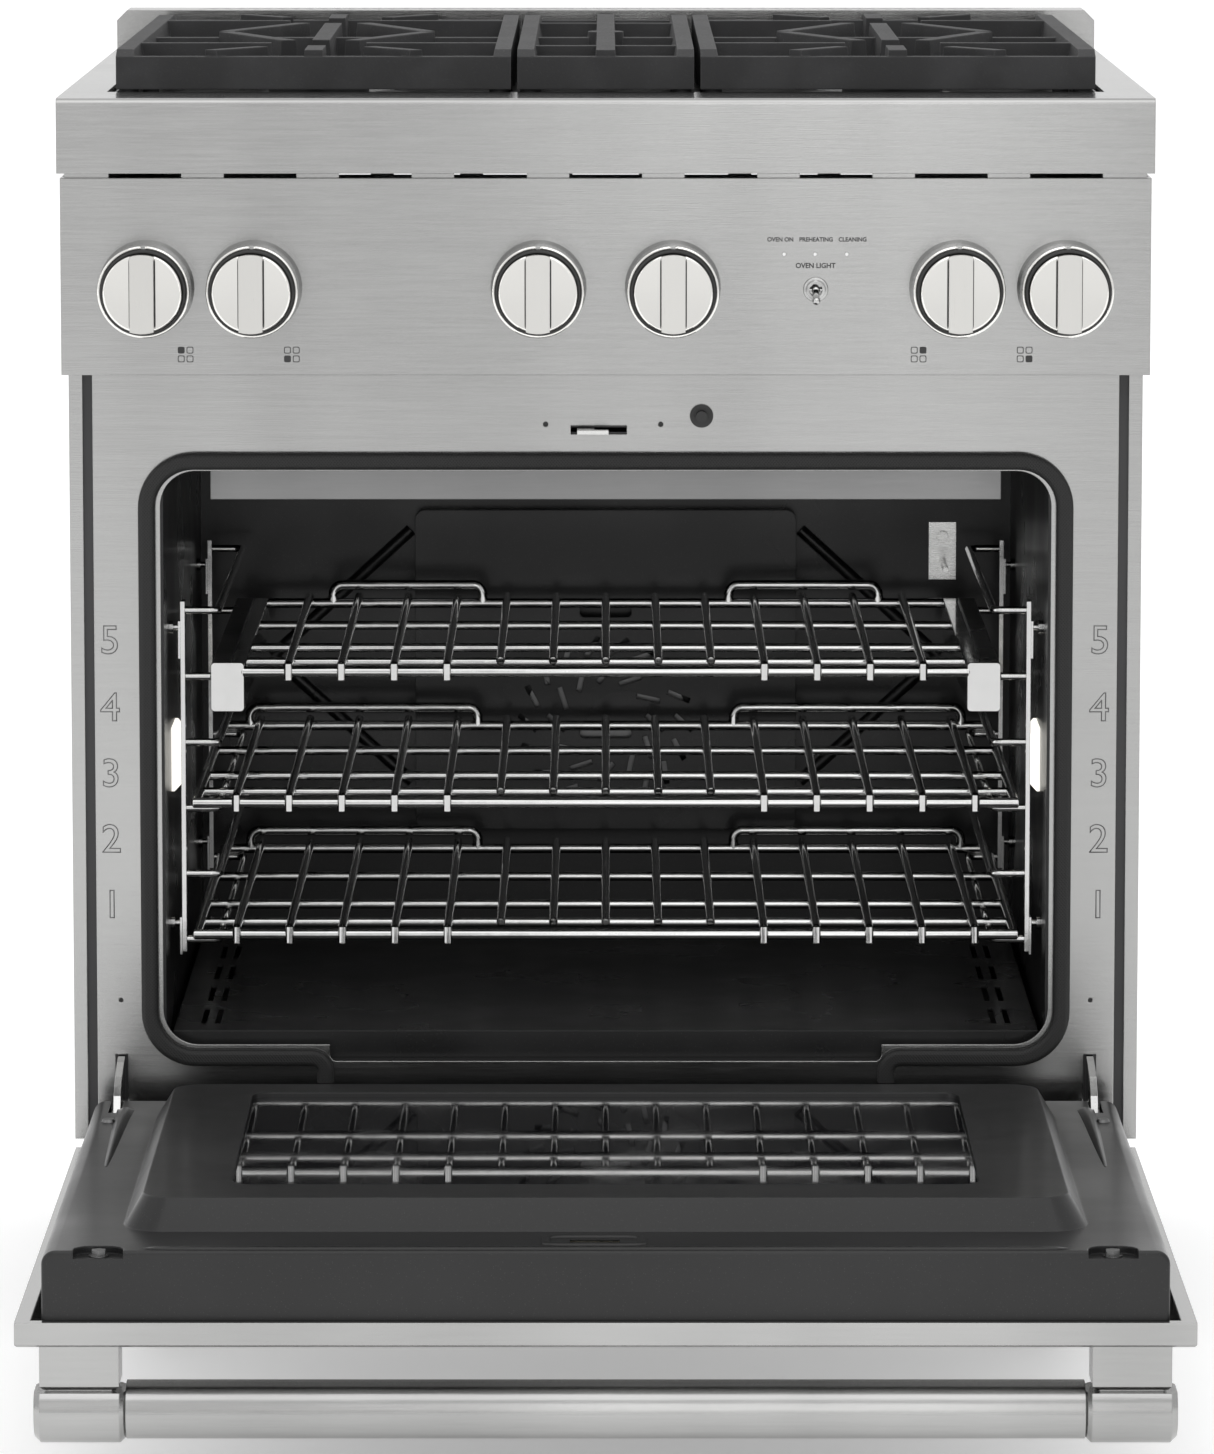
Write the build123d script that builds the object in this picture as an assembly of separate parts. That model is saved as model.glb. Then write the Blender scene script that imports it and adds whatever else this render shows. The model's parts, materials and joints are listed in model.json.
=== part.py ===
"""Freestanding 30 inch gas range, door open.  Millimetres, +Z up, front towards -Y.

Working coordinates: X = 0 on the middle plane, y = 0 on the front of the
cooktop trim (positive to the rear), z = 0 on the floor.  Every solid is moved
by -y_mid when it is written, so that the origin ends up below the middle of
the whole object, on the floor.  Door pieces are drawn closed and then swung
down about the hinge axis, because the door rests open.
"""
from build123d import *
import math
import os

# ---------------------------------------------------------------- sizes
range_w = 760.0          # overall width, over the trim
top_z = 911.0            # floor to the top of the cooktop trim
body_d = 702.0           # trim front to the back of the rear guard
sheet = 1.5              # enamelled and inner sheet metal
face_t = 2.0             # stainless front sheet

# shell
body_bottom = 167.0      # underside of the body, over the legs
front_y = 67.0           # front face of the oven's front frame
fold_w = 9.5             # front fold of each side panel
fold_gap = 7.0           # shadow gap between fold and front frame
leg_r = 26.0
leg_foot_r = 19.0
foot_h = 9.0
foot_stud_r = 6.0
leg_inset_x = 48.0
leg_front_y = 165.0
leg_rear_in = 66.0
kick_y = 127.0           # recessed toe panel
kick_gap = 24.0          # under the toe panel

# cooktop
trim_h = 52.0
trim_t = 2.0
ledge_front = 78.0
ledge_side = 30.5
ledge_rear = 12.0
guard_d = 41.0
guard_over = 30.0        # rear guard above the trim
vent_pitch = 10.7
vent_len = 6.4
vent_w = 2.6
tray_drop = 27.0         # tray floor below the trim's top
grate_gap_side = 6.0
grate_gap_front = 4.0
grate_gap_rear = 32.0
grate_split = 4.5
grate_mid_w = 124.0
grate_over = 29.0        # cooking plane above the trim
grate_low = 4.5          # end rails lie this much lower
grate_rail = 17.0
burner_in = 103.0        # burner axis from the grate's end
burner_r = 46.0
cap_r = 36.0

# control panel
strip_h = 4.0            # slotted strip between trim and panel
panel_h = 137.0
panel_front = 11.5
knob_edge = 61.2         # outer knob axis from the side of the range
knob_pitch = 74.8
knob_mid = 46.6
knob_drop = 76.0         # knob axis below the panel's top
bezel_r = 31.7
bezel_wall = 2.3
bezel_out = 37.5
knob_r = 27.2
knob_out = 51.5
grip_w = 16.5
grip_h = 8.5
stem_r = 3.0
stem_clear = 0.06
knob_push = 4.0
lug_x = 145.8            # toggle switch axis from the middle
lug_drop = 77.2
led_drop = 52.7          # indicator lamps below the panel's top
bat_len = 15.0

# oven front and cavity
frame_gap = 2.0          # front frame below the panel
stile_w = 47.0
open_bottom = 235.0
open_over = 73.0         # opening's top below the panel's underside
open_r = 25.0
sill_drop = 12.0         # the sill is lower between the gasket's tails
tail_x = 199.0
cav_clear = 2.0
cav_rear = 142.0         # cavity's back wall before the rear of the range
cav_floor = 223.0
cav_over = 5.0
wool_t = 22.0
gasket_w = 12.0
gasket_t = 8.6
gasket_out = 9.25        # gasket's middle line outside the opening

# racks
ladder_in = 10.0         # ladder's flat bar inside the cavity's wall
bar_t = 3.2
bar_d = 13.0
ladder_y = 125.0
rung_in = 25.0
rung_r = 2.8
rung_top = 538.0
rung_pitch = 47.6
rack_y = 115.0
rack_rear = 55.0         # rear of the racks before the cavity's back wall
rack_side = 11.0         # rack inside the ladder's bar
cross_r = 3.1
wire_r = 2.4
wire_pitch = 37.7
rack_seat = 0.3
slide_h = 34.5
slide_w = 21.5
rack_out = 350.0

# door, drawn closed
hinge_y = 40.0
hinge_z = 185.0
door_gap = 5.0           # door below the control panel
door_bottom = 144.0
door_face = 43.0         # outer face in front of the hinge axis
door_lip = 16.0
door_t = 1.2
liner_up = 18.0          # liner plane behind the hinge axis, and its foot above it
liner_top_gap = 8.0
plateau_h = 20.0
plateau_slope = 12.0     # width of the plateau's sloped sides
plateau_gap = 3.0        # plateau inside the opening, where it passes the front frame
glass_hw = 245.0
glass_low = 42.5         # window above the plateau's foot
glass_high = 55.0
liner_side_r = 9.0       # rolled side edges of the liner
liner_top_r = 2.5
pocket_hw = 16.0         # bolt pocket at each upper corner of the liner
pocket_d = 5.0
bolt_r = 5.0
glass_t = 5.0
glass_sink = 3.0
outer_win_in = 25.0
pin_r = 4.0
pin_clear = 0.06
arm_t = 5.0
arm_slot = 9.0
hinge_in = 17.0          # hinge inside the edge of the front frame
bracket_in = 11.3        # handle bracket inside the edge of the door
bracket_w = 59.0
handle_drop = 25.0
handle_off = 46.0
handle_r = 19.0
head_r = 21.5

# latch and door switch on the front frame
latch_x0, latch_x1 = -24.6, 14.9
latch_drop = 44.0        # latch slot's middle below the panel's underside
latch_h = 6.2
latch_t = 3.0
latch_travel = 14.0
switch_x = 67.4
switch_drop = 34.0
switch_r = 8.2
plunger_r = 4.0

# ------------------------------------------------------- derived places
half_w = range_w / 2
body_hw = half_w - 2.5
inner_hw = body_hw - sheet
rear_y = body_d - 11.5                 # back of the body
guard_y = body_d - guard_d             # front of the rear guard
trim_z = top_z - trim_h
panel_top = trim_z - strip_h
panel_low = panel_top - panel_h
panel_hw = half_w - 1.5
frame_hw = body_hw - fold_w - fold_gap
frame_top = panel_low - frame_gap
open_hw = frame_hw - stile_w
open_top = panel_low - open_over
frame_back = front_y + face_t
cav_hw = open_hw - cav_clear
cav_back = body_d - cav_rear
cav_top = open_top + cav_over
ladder_x = cav_hw - ladder_in
rung_x = ladder_x - rung_in
rack_hw = ladder_x - bar_t / 2 - rack_side + 5.0
rack_d = cav_back - rack_rear - rack_y
hinge_x = frame_hw - hinge_in
door_hw = half_w - 2.0
door_top = panel_low - door_gap
skin_y = hinge_y - door_face           # outer face of the closed door
liner_y = hinge_y + liner_up           # inner face of the closed door
liner_low = hinge_z + liner_up
liner_top = door_top - liner_top_gap
knob_z = panel_top - knob_drop
knob_x = half_w - knob_edge
opening_hw = half_w - ledge_side
tray_z = top_z - tray_drop
tray_hw = opening_hw - 2.0
grate_hw = opening_hw - grate_gap_side
grate_y0 = ledge_front + grate_gap_front
grate_y1 = guard_y - ledge_rear - grate_gap_rear
gap_in = plateau_slope * (front_y - hinge_y - liner_up) / plateau_h   # slope passed at the frame
plat_hw = open_hw - plateau_gap + gap_in - 3.4
plat_low = open_bottom + plateau_gap - gap_in - 0.1
plat_top = open_top - plateau_gap + gap_in - 1.9
floor_y = hinge_y + liner_up + plateau_h + 4     # oven floor panel starts behind the plateau
win_low = plat_low + glass_low
win_top = plat_top - glass_high
door_len = door_top - hinge_z
y_open_front = hinge_y - door_len
y_mid = (y_open_front + body_d) / 2


# -------------------------------------------------------------- helpers
def blk(x0, x1, y0, y1, z0, z1):
    return Pos((x0 + x1) / 2, (y0 + y1) / 2, (z0 + z1) / 2) * Box(
        abs(x1 - x0), abs(y1 - y0), abs(z1 - z0))


def rod(p, q, r, r2=None):
    p, q = Vector(*p), Vector(*q)
    where = Plane(origin=p, z_dir=q - p)
    low = (Align.CENTER, Align.CENTER, Align.MIN)
    if r2 is None:
        return where * Cylinder(r, (q - p).length, align=low)
    return where * Cone(r, r2, (q - p).length, align=low)


def tube(points, r, bend):
    line = FilletPolyline(*points, radius=bend)
    return sweep(Plane(origin=line @ 0, z_dir=line % 0) * Circle(r), path=line)


def pane(x0, x1, z0, z1, r, y0, y1):
    """Upright slab with rounded corners, from y0 to y1."""
    face = Plane(origin=((x0 + x1) / 2, y0, (z0 + z1) / 2), x_dir=(1, 0, 0), z_dir=(0, 1, 0))
    return extrude(face * RectangleRounded(x1 - x0, z1 - z0, r), amount=y1 - y0)


def bar(p, q, profile):
    """Horizontal bar from p to q (x, y); profile in (left of the run, z)."""
    run = Vector(q[0] - p[0], q[1] - p[1], 0)
    where = Plane(origin=(p[0], p[1], 0), x_dir=(-run.Y, run.X, 0), z_dir=run)
    return extrude(where * make_face(Polyline(*profile, close=True)), amount=run.length)


def rib(p, q, top, foot, z0, z1):
    return bar(p, q, [(-foot / 2, z0), (foot / 2, z0), (top / 2, z1), (-top / 2, z1)])


def both(solid):
    return [solid, mirror(solid, about=Plane.YZ)]


def joined(first, *more):
    out = first
    more = [m for group in more for m in (group if isinstance(group, (list, tuple)) else [group])]
    return out + more if more else out


def solids_of(things):
    found = []
    for t in things:
        if isinstance(t, (list, tuple)):
            found += solids_of(t)
        else:
            found += list(t.solids())
    return found


def swing(solid):
    """Closed door to open door: a quarter turn about the hinge axis."""
    return Pos(0, hinge_y, hinge_z) * Rot(90, 0, 0) * Pos(0, -hinge_y, -hinge_z) * solid


os.makedirs("parts", exist_ok=True)


def put(name, *things, door=False):
    found = []
    for s in solids_of(things):
        s = swing(s) if door else s
        found.append(Pos(0, -y_mid, 0) * s)
    export_step(found[0] if len(found) == 1 else Compound(found), "parts/" + name + ".step")


# ------------------------------------------------------------ the shell
side = blk(inner_hw, body_hw, front_y, rear_y, body_bottom, trim_z)
side += blk(body_hw - fold_w, body_hw, front_y, front_y + face_t, body_bottom, panel_low)
side += blk(body_hw - 14, body_hw, front_y, rear_y, body_bottom, body_bottom + sheet)
put("side_panels", both(side))

rear = blk(-inner_hw, inner_hw, rear_y - sheet, rear_y, body_bottom + sheet, trim_z)
inlet_x, inlet_z = inner_hw - 70, body_bottom + 78
rear -= blk(inlet_x - 34, inlet_x + 34, rear_y - 5, rear_y + 5, inlet_z - 34, inlet_z + 34)
louvres = [blk(x - 26, x + 26, rear_y - 5, rear_y + 5, z, z + 4)
           for x in (-210, -140, -70, 0, 70, 140, 210) for z in (trim_z - 60, trim_z - 48, trim_z - 36)]
rear -= louvres
put("rear_panel", rear)

# chassis: base ring, four corner uprights, top rails, hinge and latch boxes
up_in = frame_hw - 20                  # inner edge of the front uprights
chassis = blk(-inner_hw, inner_hw, front_y + 41, rear_y - sheet, body_bottom + sheet, body_bottom + 24)
chassis -= [blk(x - 30, x + 30, y - 4, y + 4, body_bottom, body_bottom + 9)
            for x in (-225, -135, -45, 45, 135, 225) for y in (240, 275, 480, 515)]   # air slots of the base pan
chassis -= blk(-inner_hw + 2, inner_hw - 2, front_y + 43, rear_y - sheet - 2, body_bottom + sheet + 2, body_bottom + 30)
for s in (-1, 1):
    chassis += blk(s * up_in, s * inner_hw, frame_back, frame_back + 2, body_bottom + sheet, trim_z)
    chassis += blk(s * (inner_hw - 2), s * inner_hw, frame_back, front_y + 60, body_bottom + sheet, trim_z)
    chassis += blk(s * (inner_hw - 30), s * inner_hw, rear_y - sheet - 2, rear_y - sheet, body_bottom + sheet, trim_z)
    chassis += blk(s * (inner_hw - 2), s * inner_hw, rear_y - 40, rear_y - sheet, body_bottom + sheet, trim_z)
    chassis += blk(s * (inner_hw - 2), s * inner_hw, front_y + 60, rear_y - 40, cav_top + 60, cav_top + 90)
    # hinge receiver
    low, high = s * (hinge_x - 8), s * (hinge_x + 8)
    chassis += blk(low, high, frame_back, frame_back + 46, liner_low - 13, liner_low + 29)
    chassis -= blk(s * (hinge_x - arm_t / 2 - 0.05), s * (hinge_x + arm_t / 2 + 0.05),
                   frame_back - 2, frame_back + 44, liner_low - 9, liner_low + 25)
chassis += blk(-up_in - 5, up_in + 5, frame_back, frame_back + 2, panel_low - 1, panel_low + 24)
chassis += blk(-inner_hw + 2, inner_hw - 2, rear_y - sheet - 2, rear_y - sheet, trim_z - 24, trim_z)
# latch box hangs from the front top rail, over the cavity
latch_z = panel_low - latch_drop
latch_box = blk(-60, 60, frame_back, frame_back + 34, latch_z - 7, panel_low + 2)
latch_box -= blk(-56, 56, frame_back + 2, frame_back + 32, latch_z + 6, panel_low + 1)
latch_box -= blk(latch_x0 - 1, latch_x1 + 1, frame_back - 1, frame_back + 29, latch_z - latch_t / 2 - 0.3, latch_z + latch_t / 2 + 0.3)
latch_box -= rod((switch_x, frame_back - 1, panel_low - switch_drop), (switch_x, frame_back + 40, panel_low - switch_drop), 9.5)
chassis += latch_box
put("chassis_frame", chassis)

leg_x = inner_hw - leg_inset_x
legs, feet = [], []
for x in (-leg_x, leg_x):
    for y in (leg_front_y, rear_y - leg_rear_in):
        leg = rod((x, y, foot_h + 22), (x, y, body_bottom - 8), leg_foot_r, leg_r)
        leg += rod((x, y, body_bottom - 8), (x, y, body_bottom), leg_r + 6)
        leg += blk(x - 30, x + 30, y - 30, y + 30, body_bottom, body_bottom + sheet)
        leg -= rod((x, y, 0), (x, y, foot_h + 62), foot_stud_r)
        legs.append(leg)
        foot = rod((x, y, 0), (x, y, foot_h - 3), leg_foot_r + 2)
        foot += rod((x, y, foot_h - 3), (x, y, foot_h), leg_foot_r + 2, leg_foot_r - 2)
        foot += rod((x, y, foot_h - 1), (x, y, foot_h + 60), foot_stud_r)
        nut = Plane(origin=(x, y, foot_h + 12)) * RegularPolygon(12, 6)
        foot += extrude(nut, amount=10)
        feet.append(foot)
put("legs", legs)
put("leveling_feet", feet)

kick = blk(-inner_hw + 3, inner_hw - 3, kick_y, kick_y + sheet, kick_gap, body_bottom)
kick += blk(-body_hw + 14, body_hw - 14, kick_y, front_y + 75, body_bottom, body_bottom + sheet)
for s in (-1, 1):
    kick -= blk(s * (leg_x - 31), s * (leg_x + 31), leg_front_y - 31, leg_front_y + 31, body_bottom - 1, body_bottom + 5)
    kick += blk(s * (inner_hw - 3), s * (inner_hw - 4.5), kick_y, kick_y + 18, kick_gap, body_bottom)
kick += blk(-inner_hw + 3, inner_hw - 3, kick_y, kick_y + 14, kick_gap, kick_gap + sheet)
kick -= blk(-inner_hw, inner_hw, kick_y - 1, front_y + 80, body_bottom + sheet - 0.001, body_bottom + 9)
kick -= [blk(x - 30, x + 30, kick_y - 5, kick_y + 5, z, z + 5) for x in (-150, -75, 0, 75, 150) for z in (body_bottom - 34, body_bottom - 22)]
put("kick_panel", kick)

# --------------------------------------------------- oven front and box
frame = blk(-frame_hw, frame_hw, front_y, frame_back, body_bottom, frame_top)
opening = pane(-open_hw, open_hw, open_bottom, open_top, open_r, front_y - 5, frame_back + 5)
opening += pane(-tail_x + 3, tail_x - 3, open_bottom - sill_drop, open_bottom + 40, 5, front_y - 5, frame_back + 5)
frame -= opening
for s in (-1, 1):
    frame -= blk(s * (hinge_x - arm_slot / 2), s * (hinge_x + arm_slot / 2), front_y - 5, frame_back + 5, liner_low - 9, liner_low + 25)
    frame -= rod((s * hinge_x, front_y - 5, open_bottom + 32), (s * hinge_x, front_y + 9, open_bottom + 32), 1.6)
    frame += blk(s * (frame_hw - 1.5), s * frame_hw, front_y, frame_back, body_bottom, frame_top)
frame -= blk(latch_x0, latch_x1, front_y - 5, frame_back + 5, latch_z - latch_h / 2, latch_z + latch_h / 2)
hole_z = panel_low - 40
frame -= [rod((x, front_y - 5, hole_z), (x, front_y + 9, hole_z), 1.8) for x in (-42.2, 38.7)]
switch_z = panel_low - switch_drop
frame -= rod((switch_x, front_y - 5, switch_z), (switch_x, front_y + 9, switch_z), switch_r - 1)
put("front_frame", frame)

cav_in = blk(-cav_hw, cav_hw, front_y, cav_back, cav_floor, cav_top)
cav_out = blk(-cav_hw - sheet, cav_hw + sheet, frame_back, cav_back + sheet, cav_floor - sheet, cav_top + sheet)
rim = blk(-open_hw - 21, open_hw + 21, frame_back, frame_back + sheet, cav_floor - 14, cav_top + 13)
cavity = cav_out + rim - cav_in
fan_z = 398.0
fan_r = 62.0
lamp_y, lamp_z = 178.0, 427.0
cavity -= rod((0, cav_back - 5, fan_z), (0, cav_back + 9, fan_z), 9)
for s in (-1, 1):
    cavity -= blk(s * (cav_hw - 5), s * (cav_hw + 9), lamp_y - 26, lamp_y + 26, lamp_z - 23, lamp_z + 23)
    # pressed V rib of the back wall, point outwards
    y1 = cav_back + 0.2
    tip, root, up, down = s * 257.0, s * 150.0, 98.0, 98.0
    for dz in (up, -down):
        knee = rod((tip, y1, fan_z + 50), (root, y1, fan_z + 50 + dz), 4.5)
        cavity += knee & cav_in
put("oven_cavity", cavity)

wool_y0 = frame_back + 36
wool = blk(-cav_hw - sheet - wool_t, cav_hw + sheet + wool_t, wool_y0, cav_back + sheet + wool_t,
           cav_floor - sheet - 16, cav_top + sheet + wool_t)
wool -= blk(-cav_hw - sheet, cav_hw + sheet, 0, cav_back + sheet, cav_floor - sheet, cav_top + sheet)
wool -= rod((0, cav_back, fan_z), (0, cav_back + 60, fan_z), 34)
for s in (-1, 1):
    wool -= blk(s * (cav_hw - 5), s * (cav_hw + sheet + wool_t + 1), lamp_y - 30, lamp_y + 30, lamp_z - 27, lamp_z + 27)
put("cavity_insulation", wool)

gx = open_hw + gasket_out
g_low, g_top = open_bottom - gasket_out, open_top + gasket_out - 2
gy = front_y - gasket_t / 2
path = FilletPolyline((-tail_x, gy, g_low - 17), (-tail_x, gy, g_low + 0.5), (-gx, gy, g_low + 0.5), (-gx, gy, g_top),
                      (gx, gy, g_top), (gx, gy, g_low + 0.5), (tail_x, gy, g_low + 0.5), (tail_x, gy, g_low - 17),
                      radius=[10, 33, 33, 33, 33, 10])
section = Plane(origin=path @ 0, x_dir=(1, 0, 0), z_dir=path % 0) * RectangleRounded(gasket_w, gasket_t, 3.9)
put("door_gasket", sweep(section, path=path))

floor_z = cav_floor + 18
floor = blk(-cav_hw + 4, cav_hw - 4, floor_y, cav_back - 4, floor_z, floor_z + sheet)
floor += blk(-cav_hw + 4, cav_hw - 4, floor_y, floor_y + sheet, cav_floor, floor_z)
floor += blk(-cav_hw + 4, cav_hw - 4, cav_back - 5.5, cav_back - 4, cav_floor, floor_z)
floor -= [blk(s * x - 2, s * x + 2, y, y + 60, floor_z - 2, floor_z + 4)
          for s in (-1, 1) for x in (cav_hw - 24, cav_hw - 34) for y in (110, 200, 290, 380)]
put("oven_floor_panel", floor)

skirt_hw, skirt_y = 283.0, 155.0
skirt = blk(-skirt_hw, skirt_hw, skirt_y, cav_back - 70, cav_top - 35, cav_top)
skirt -= blk(-skirt_hw + 1.2, skirt_hw - 1.2, skirt_y + 1.2, cav_back - 71.2, cav_top - 40, cav_top - 1.2)
put("broil_skirt", skirt)

broil = blk(-180, 180, skirt_y + 60, cav_back - 130, cav_top - 20, cav_top - 1.2)
broil -= blk(-174, 174, skirt_y + 66, cav_back - 136, cav_top - 25, cav_top - 17)
bake = joined(rod((-150, 160, cav_floor + 9), (-150, cav_back - 120, cav_floor + 9), 8),
              rod((150, 160, cav_floor + 9), (150, cav_back - 120, cav_floor + 9), 8),
              rod((-150, 160, cav_floor + 9), (150, 160, cav_floor + 9), 8),
              rod((-150, cav_back - 120, cav_floor + 9), (150, cav_back - 120, cav_floor + 9), 8))
bake += blk(-190, 190, 250, 262, cav_floor, cav_floor + 9)
put("oven_burners", broil, bake)

# back wall: baffle with a swirl of louvres, fan and motor
baf_hw, baf_low, baf_top, baf_d = 146.5, 315.0, 563.0, 17.0
baf_y = cav_back - baf_d
baffle = pane(-baf_hw, baf_hw, baf_low, baf_top, 8, baf_y, cav_back)
baffle -= pane(-baf_hw + sheet, baf_hw - sheet, baf_low + sheet, baf_top - sheet, 7, baf_y + sheet, cav_back + 5)
cuts = []
for ring, n, long in ((38.0, 12, 18.0), (60.0, 18, 18.0)):
    for i in range(n):
        a = 360.0 / n * i
        c, s = math.cos(math.radians(a)), math.sin(math.radians(a))
        cuts.append(Pos(ring * c, baf_y, fan_z + ring * s) * Rot(0, 42 - a, 0) * Box(long, 10, 4))
for z in (fan_z - 8, fan_z + 86):
    cuts.append(pane(-20, 20, z - 4, z + 4, 3.9, baf_y - 5, baf_y + 5))
baffle -= cuts
put("fan_baffle", baffle)

fan_back = cav_back - 2.5
fan = rod((0, baf_y + 4, fan_z), (0, fan_back, fan_z), 11)
fan += rod((0, baf_y + 8.5, fan_z), (0, baf_y + 10, fan_z), fan_r)
for i in range(12):
    blade = Pos(0, 0, fan_z) * Rot(0, 30 * i, 0) * Pos(fan_r - 14, (baf_y + 4 + fan_back) / 2, 0) * Rot(0, 25, 0) * Box(22, fan_back - baf_y - 5, 1.4)
    fan += blade
shaft_r = 4.0
fan -= rod((0, baf_y + 6, fan_z), (0, cav_back + 9, fan_z), shaft_r + 0.05)
put("fan_blade", fan)

motor = rod((0, cav_back + sheet, fan_z), (0, cav_back + 70, fan_z), 32)
motor += rod((0, baf_y + 7, fan_z), (0, cav_back + 5, fan_z), shaft_r)
motor += blk(-60, 60, cav_back + sheet + wool_t, cav_back + sheet + wool_t + 2, fan_z - 16, fan_z + 16)
put("fan_motor", motor)

# ladders: flat front and rear bars, U shaped rungs
rungs = [rung_top - rung_pitch * i for i in range(6)]
lad_back = cav_back - 50
ladder = blk(ladder_x - bar_t / 2, ladder_x + bar_t / 2, ladder_y, ladder_y + bar_d, rungs[-1] - 8, rungs[0] + 7)
ladder += blk(ladder_x - bar_t / 2, ladder_x + bar_t / 2, lad_back - bar_d, lad_back, rungs[-1] - 8, rungs[0] + 7)
for z in rungs:
    ladder += tube([(ladder_x, ladder_y + 6, z), (rung_x, ladder_y + 6, z), (rung_x, lad_back - 6, z), (ladder_x, lad_back - 6, z)], rung_r, 6)
for y in (ladder_y + 5, lad_back - 8):
    for z in (rungs[0] - 12, rungs[-1] + 12):
        ladder += rod((ladder_x, y, z), (cav_hw, y, z), 2.2)
        ladder += blk(ladder_x + bar_t / 2, ladder_x + bar_t / 2 + 1.6, y - 6, y + 6, z - 22, z + 5)
        ladder += rod((cav_hw - 3, y, z), (cav_hw, y, z), 4.6)
put("rack_ladders", both(ladder))


def back_stops(x0, x1, y, z, r):
    return [tube([(x0, y, z), (x0, y, z + 14), (x1, y, z + 14), (x1, y, z)], r, 7)]


def rack(hw, z, wires, short, stops, side_wire=True):
    """Wire rack: cross bars under the long wires, front ends hooked round the first bar."""
    y0, y1 = rack_y, rack_y + rack_d
    at = [y0, y0 + 52, y0 + 131, y0 + 0.66 * rack_d, y1]
    parts = [rod((-hw, y, z), (hw, y, z), cross_r if y in (y0, y1) else cross_r - 0.4) for y in at]
    if side_wire:
        parts += [rod((s * (hw - 2), y0, z), (s * (hw - 2), y1, z), cross_r - 0.2) for s in (-1, 1)]
    wz = z + cross_r + wire_r - 0.7
    for i in range(wires):
        x = (i - (wires - 1) / 2) * wire_pitch
        if abs(i - (wires - 1) / 2) <= short:
            parts.append(rod((x, y0 + 24, wz), (x, y1 + 2, wz), wire_r))
        else:
            parts.append(rod((x, y0 - cross_r + 0.6, wz), (x, y1 + 2, wz), wire_r))
            parts.append(rod((x, y0 - cross_r - wire_r + 0.7, wz + 1.6), (x, y0 - cross_r - wire_r + 0.7, z - 5), wire_r))
    for x0, x1 in stops:
        parts += back_stops(x0, x1, y1, z, cross_r)
    return joined(parts[0], parts[1:])


seat = rung_r + cross_r + rack_seat
put("rack_middle", rack(rack_hw, rungs[3] + seat, 15, 2.5, [(-272, -98), (98, 272)]))
put("rack_bottom", rack(rack_hw, rungs[5] + seat, 15, 2.5, [(-272, -98), (98, 272)]))

# top rack rides on telescopic slides hung on the second rung
slide_x1 = ladder_x - bar_t / 2 - 19.4
slide_x0 = slide_x1 - slide_w
slide_z0 = rungs[1] - 22.5
slide_z1 = slide_z0 + slide_h
inner_w = 8.4
top_z_rack = slide_z1 - 6.5
rail = blk(slide_x0 + inner_w + 0.4, slide_x1, rack_y + 1.5, rack_y + rack_d - 12, slide_z0 + 1, slide_z1 - 1)
rail -= rod((rung_x, rack_y - 5, rungs[1]), (rung_x, rack_y + rack_d, rungs[1]), rung_r + 0.02)
rail -= blk(rung_x, ladder_x, rack_y - 5, ladder_y + 10, rungs[1] - rung_r - 1, rungs[1] + rung_r + 1)
rail -= blk(rung_x, ladder_x, lad_back - 14, lad_back, rungs[1] - rung_r - 1, rungs[1] + rung_r + 1)
rail -= blk(rung_x - 7, ladder_x, rack_y - 5, ladder_y + 16, rungs[1] - rung_r - 1, rungs[1] + rung_r + 1)
rail -= blk(rung_x - 7, ladder_x, lad_back - 22, lad_back, rungs[1] - rung_r - 1, rungs[1] + rung_r + 1)
rail -= blk(slide_x0, slide_x0 + inner_w + 3, rack_y, rack_y + rack_d, slide_z0 + 5, slide_z1 - 5)
put("rack_slide_rails", both(rail))

top = rack(slide_x0 - 1.0, top_z_rack, 13, 2.5, [(-208, -94), (94, 208)], side_wire=False)
for s in (-1, 1):
    top += blk(s * (slide_x0 - 1.6), s * (slide_x0 + inner_w), rack_y, rack_y + rack_d - 2, slide_z0 + 3.2, slide_z1 - 3.2)
    plate = pane(slide_x0 - 1.6, slide_x1, slide_z0, slide_z1, 2.5, rack_y - 2.2, rack_y)
    top += plate if s > 0 else mirror(plate, about=Plane.YZ)
put("rack_top", top)

lamp = []
for s in (1,):
    shade = blk(cav_hw + sheet + 22, cav_hw + 4, lamp_y - 25, lamp_y + 25, lamp_z - 22, lamp_z + 22)
    lens = pane(0, 1, 0, 1, 0.2, 0, 1)
    lens = blk(cav_hw - 7, cav_hw + 4, lamp_y - 25.9, lamp_y + 25.9, lamp_z - 22.9, lamp_z + 22.9)
    lens = chamfer(lens.faces().sort_by(Axis.X)[0].edges(), 5)
    lamp = both(lens + shade)
put("oven_lamps", lamp)

sensor = blk(249, 270, cav_back - 1.6, cav_back, 507.5, 552)
sensor += rod((259.5, cav_back - 5, 541), (259.5, cav_back, 541), 4.2)
sensor += rod((259.5, cav_back - 62, 522), (259.5, cav_back, 522), 2.4)
put("temperature_sensor", sensor)

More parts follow.
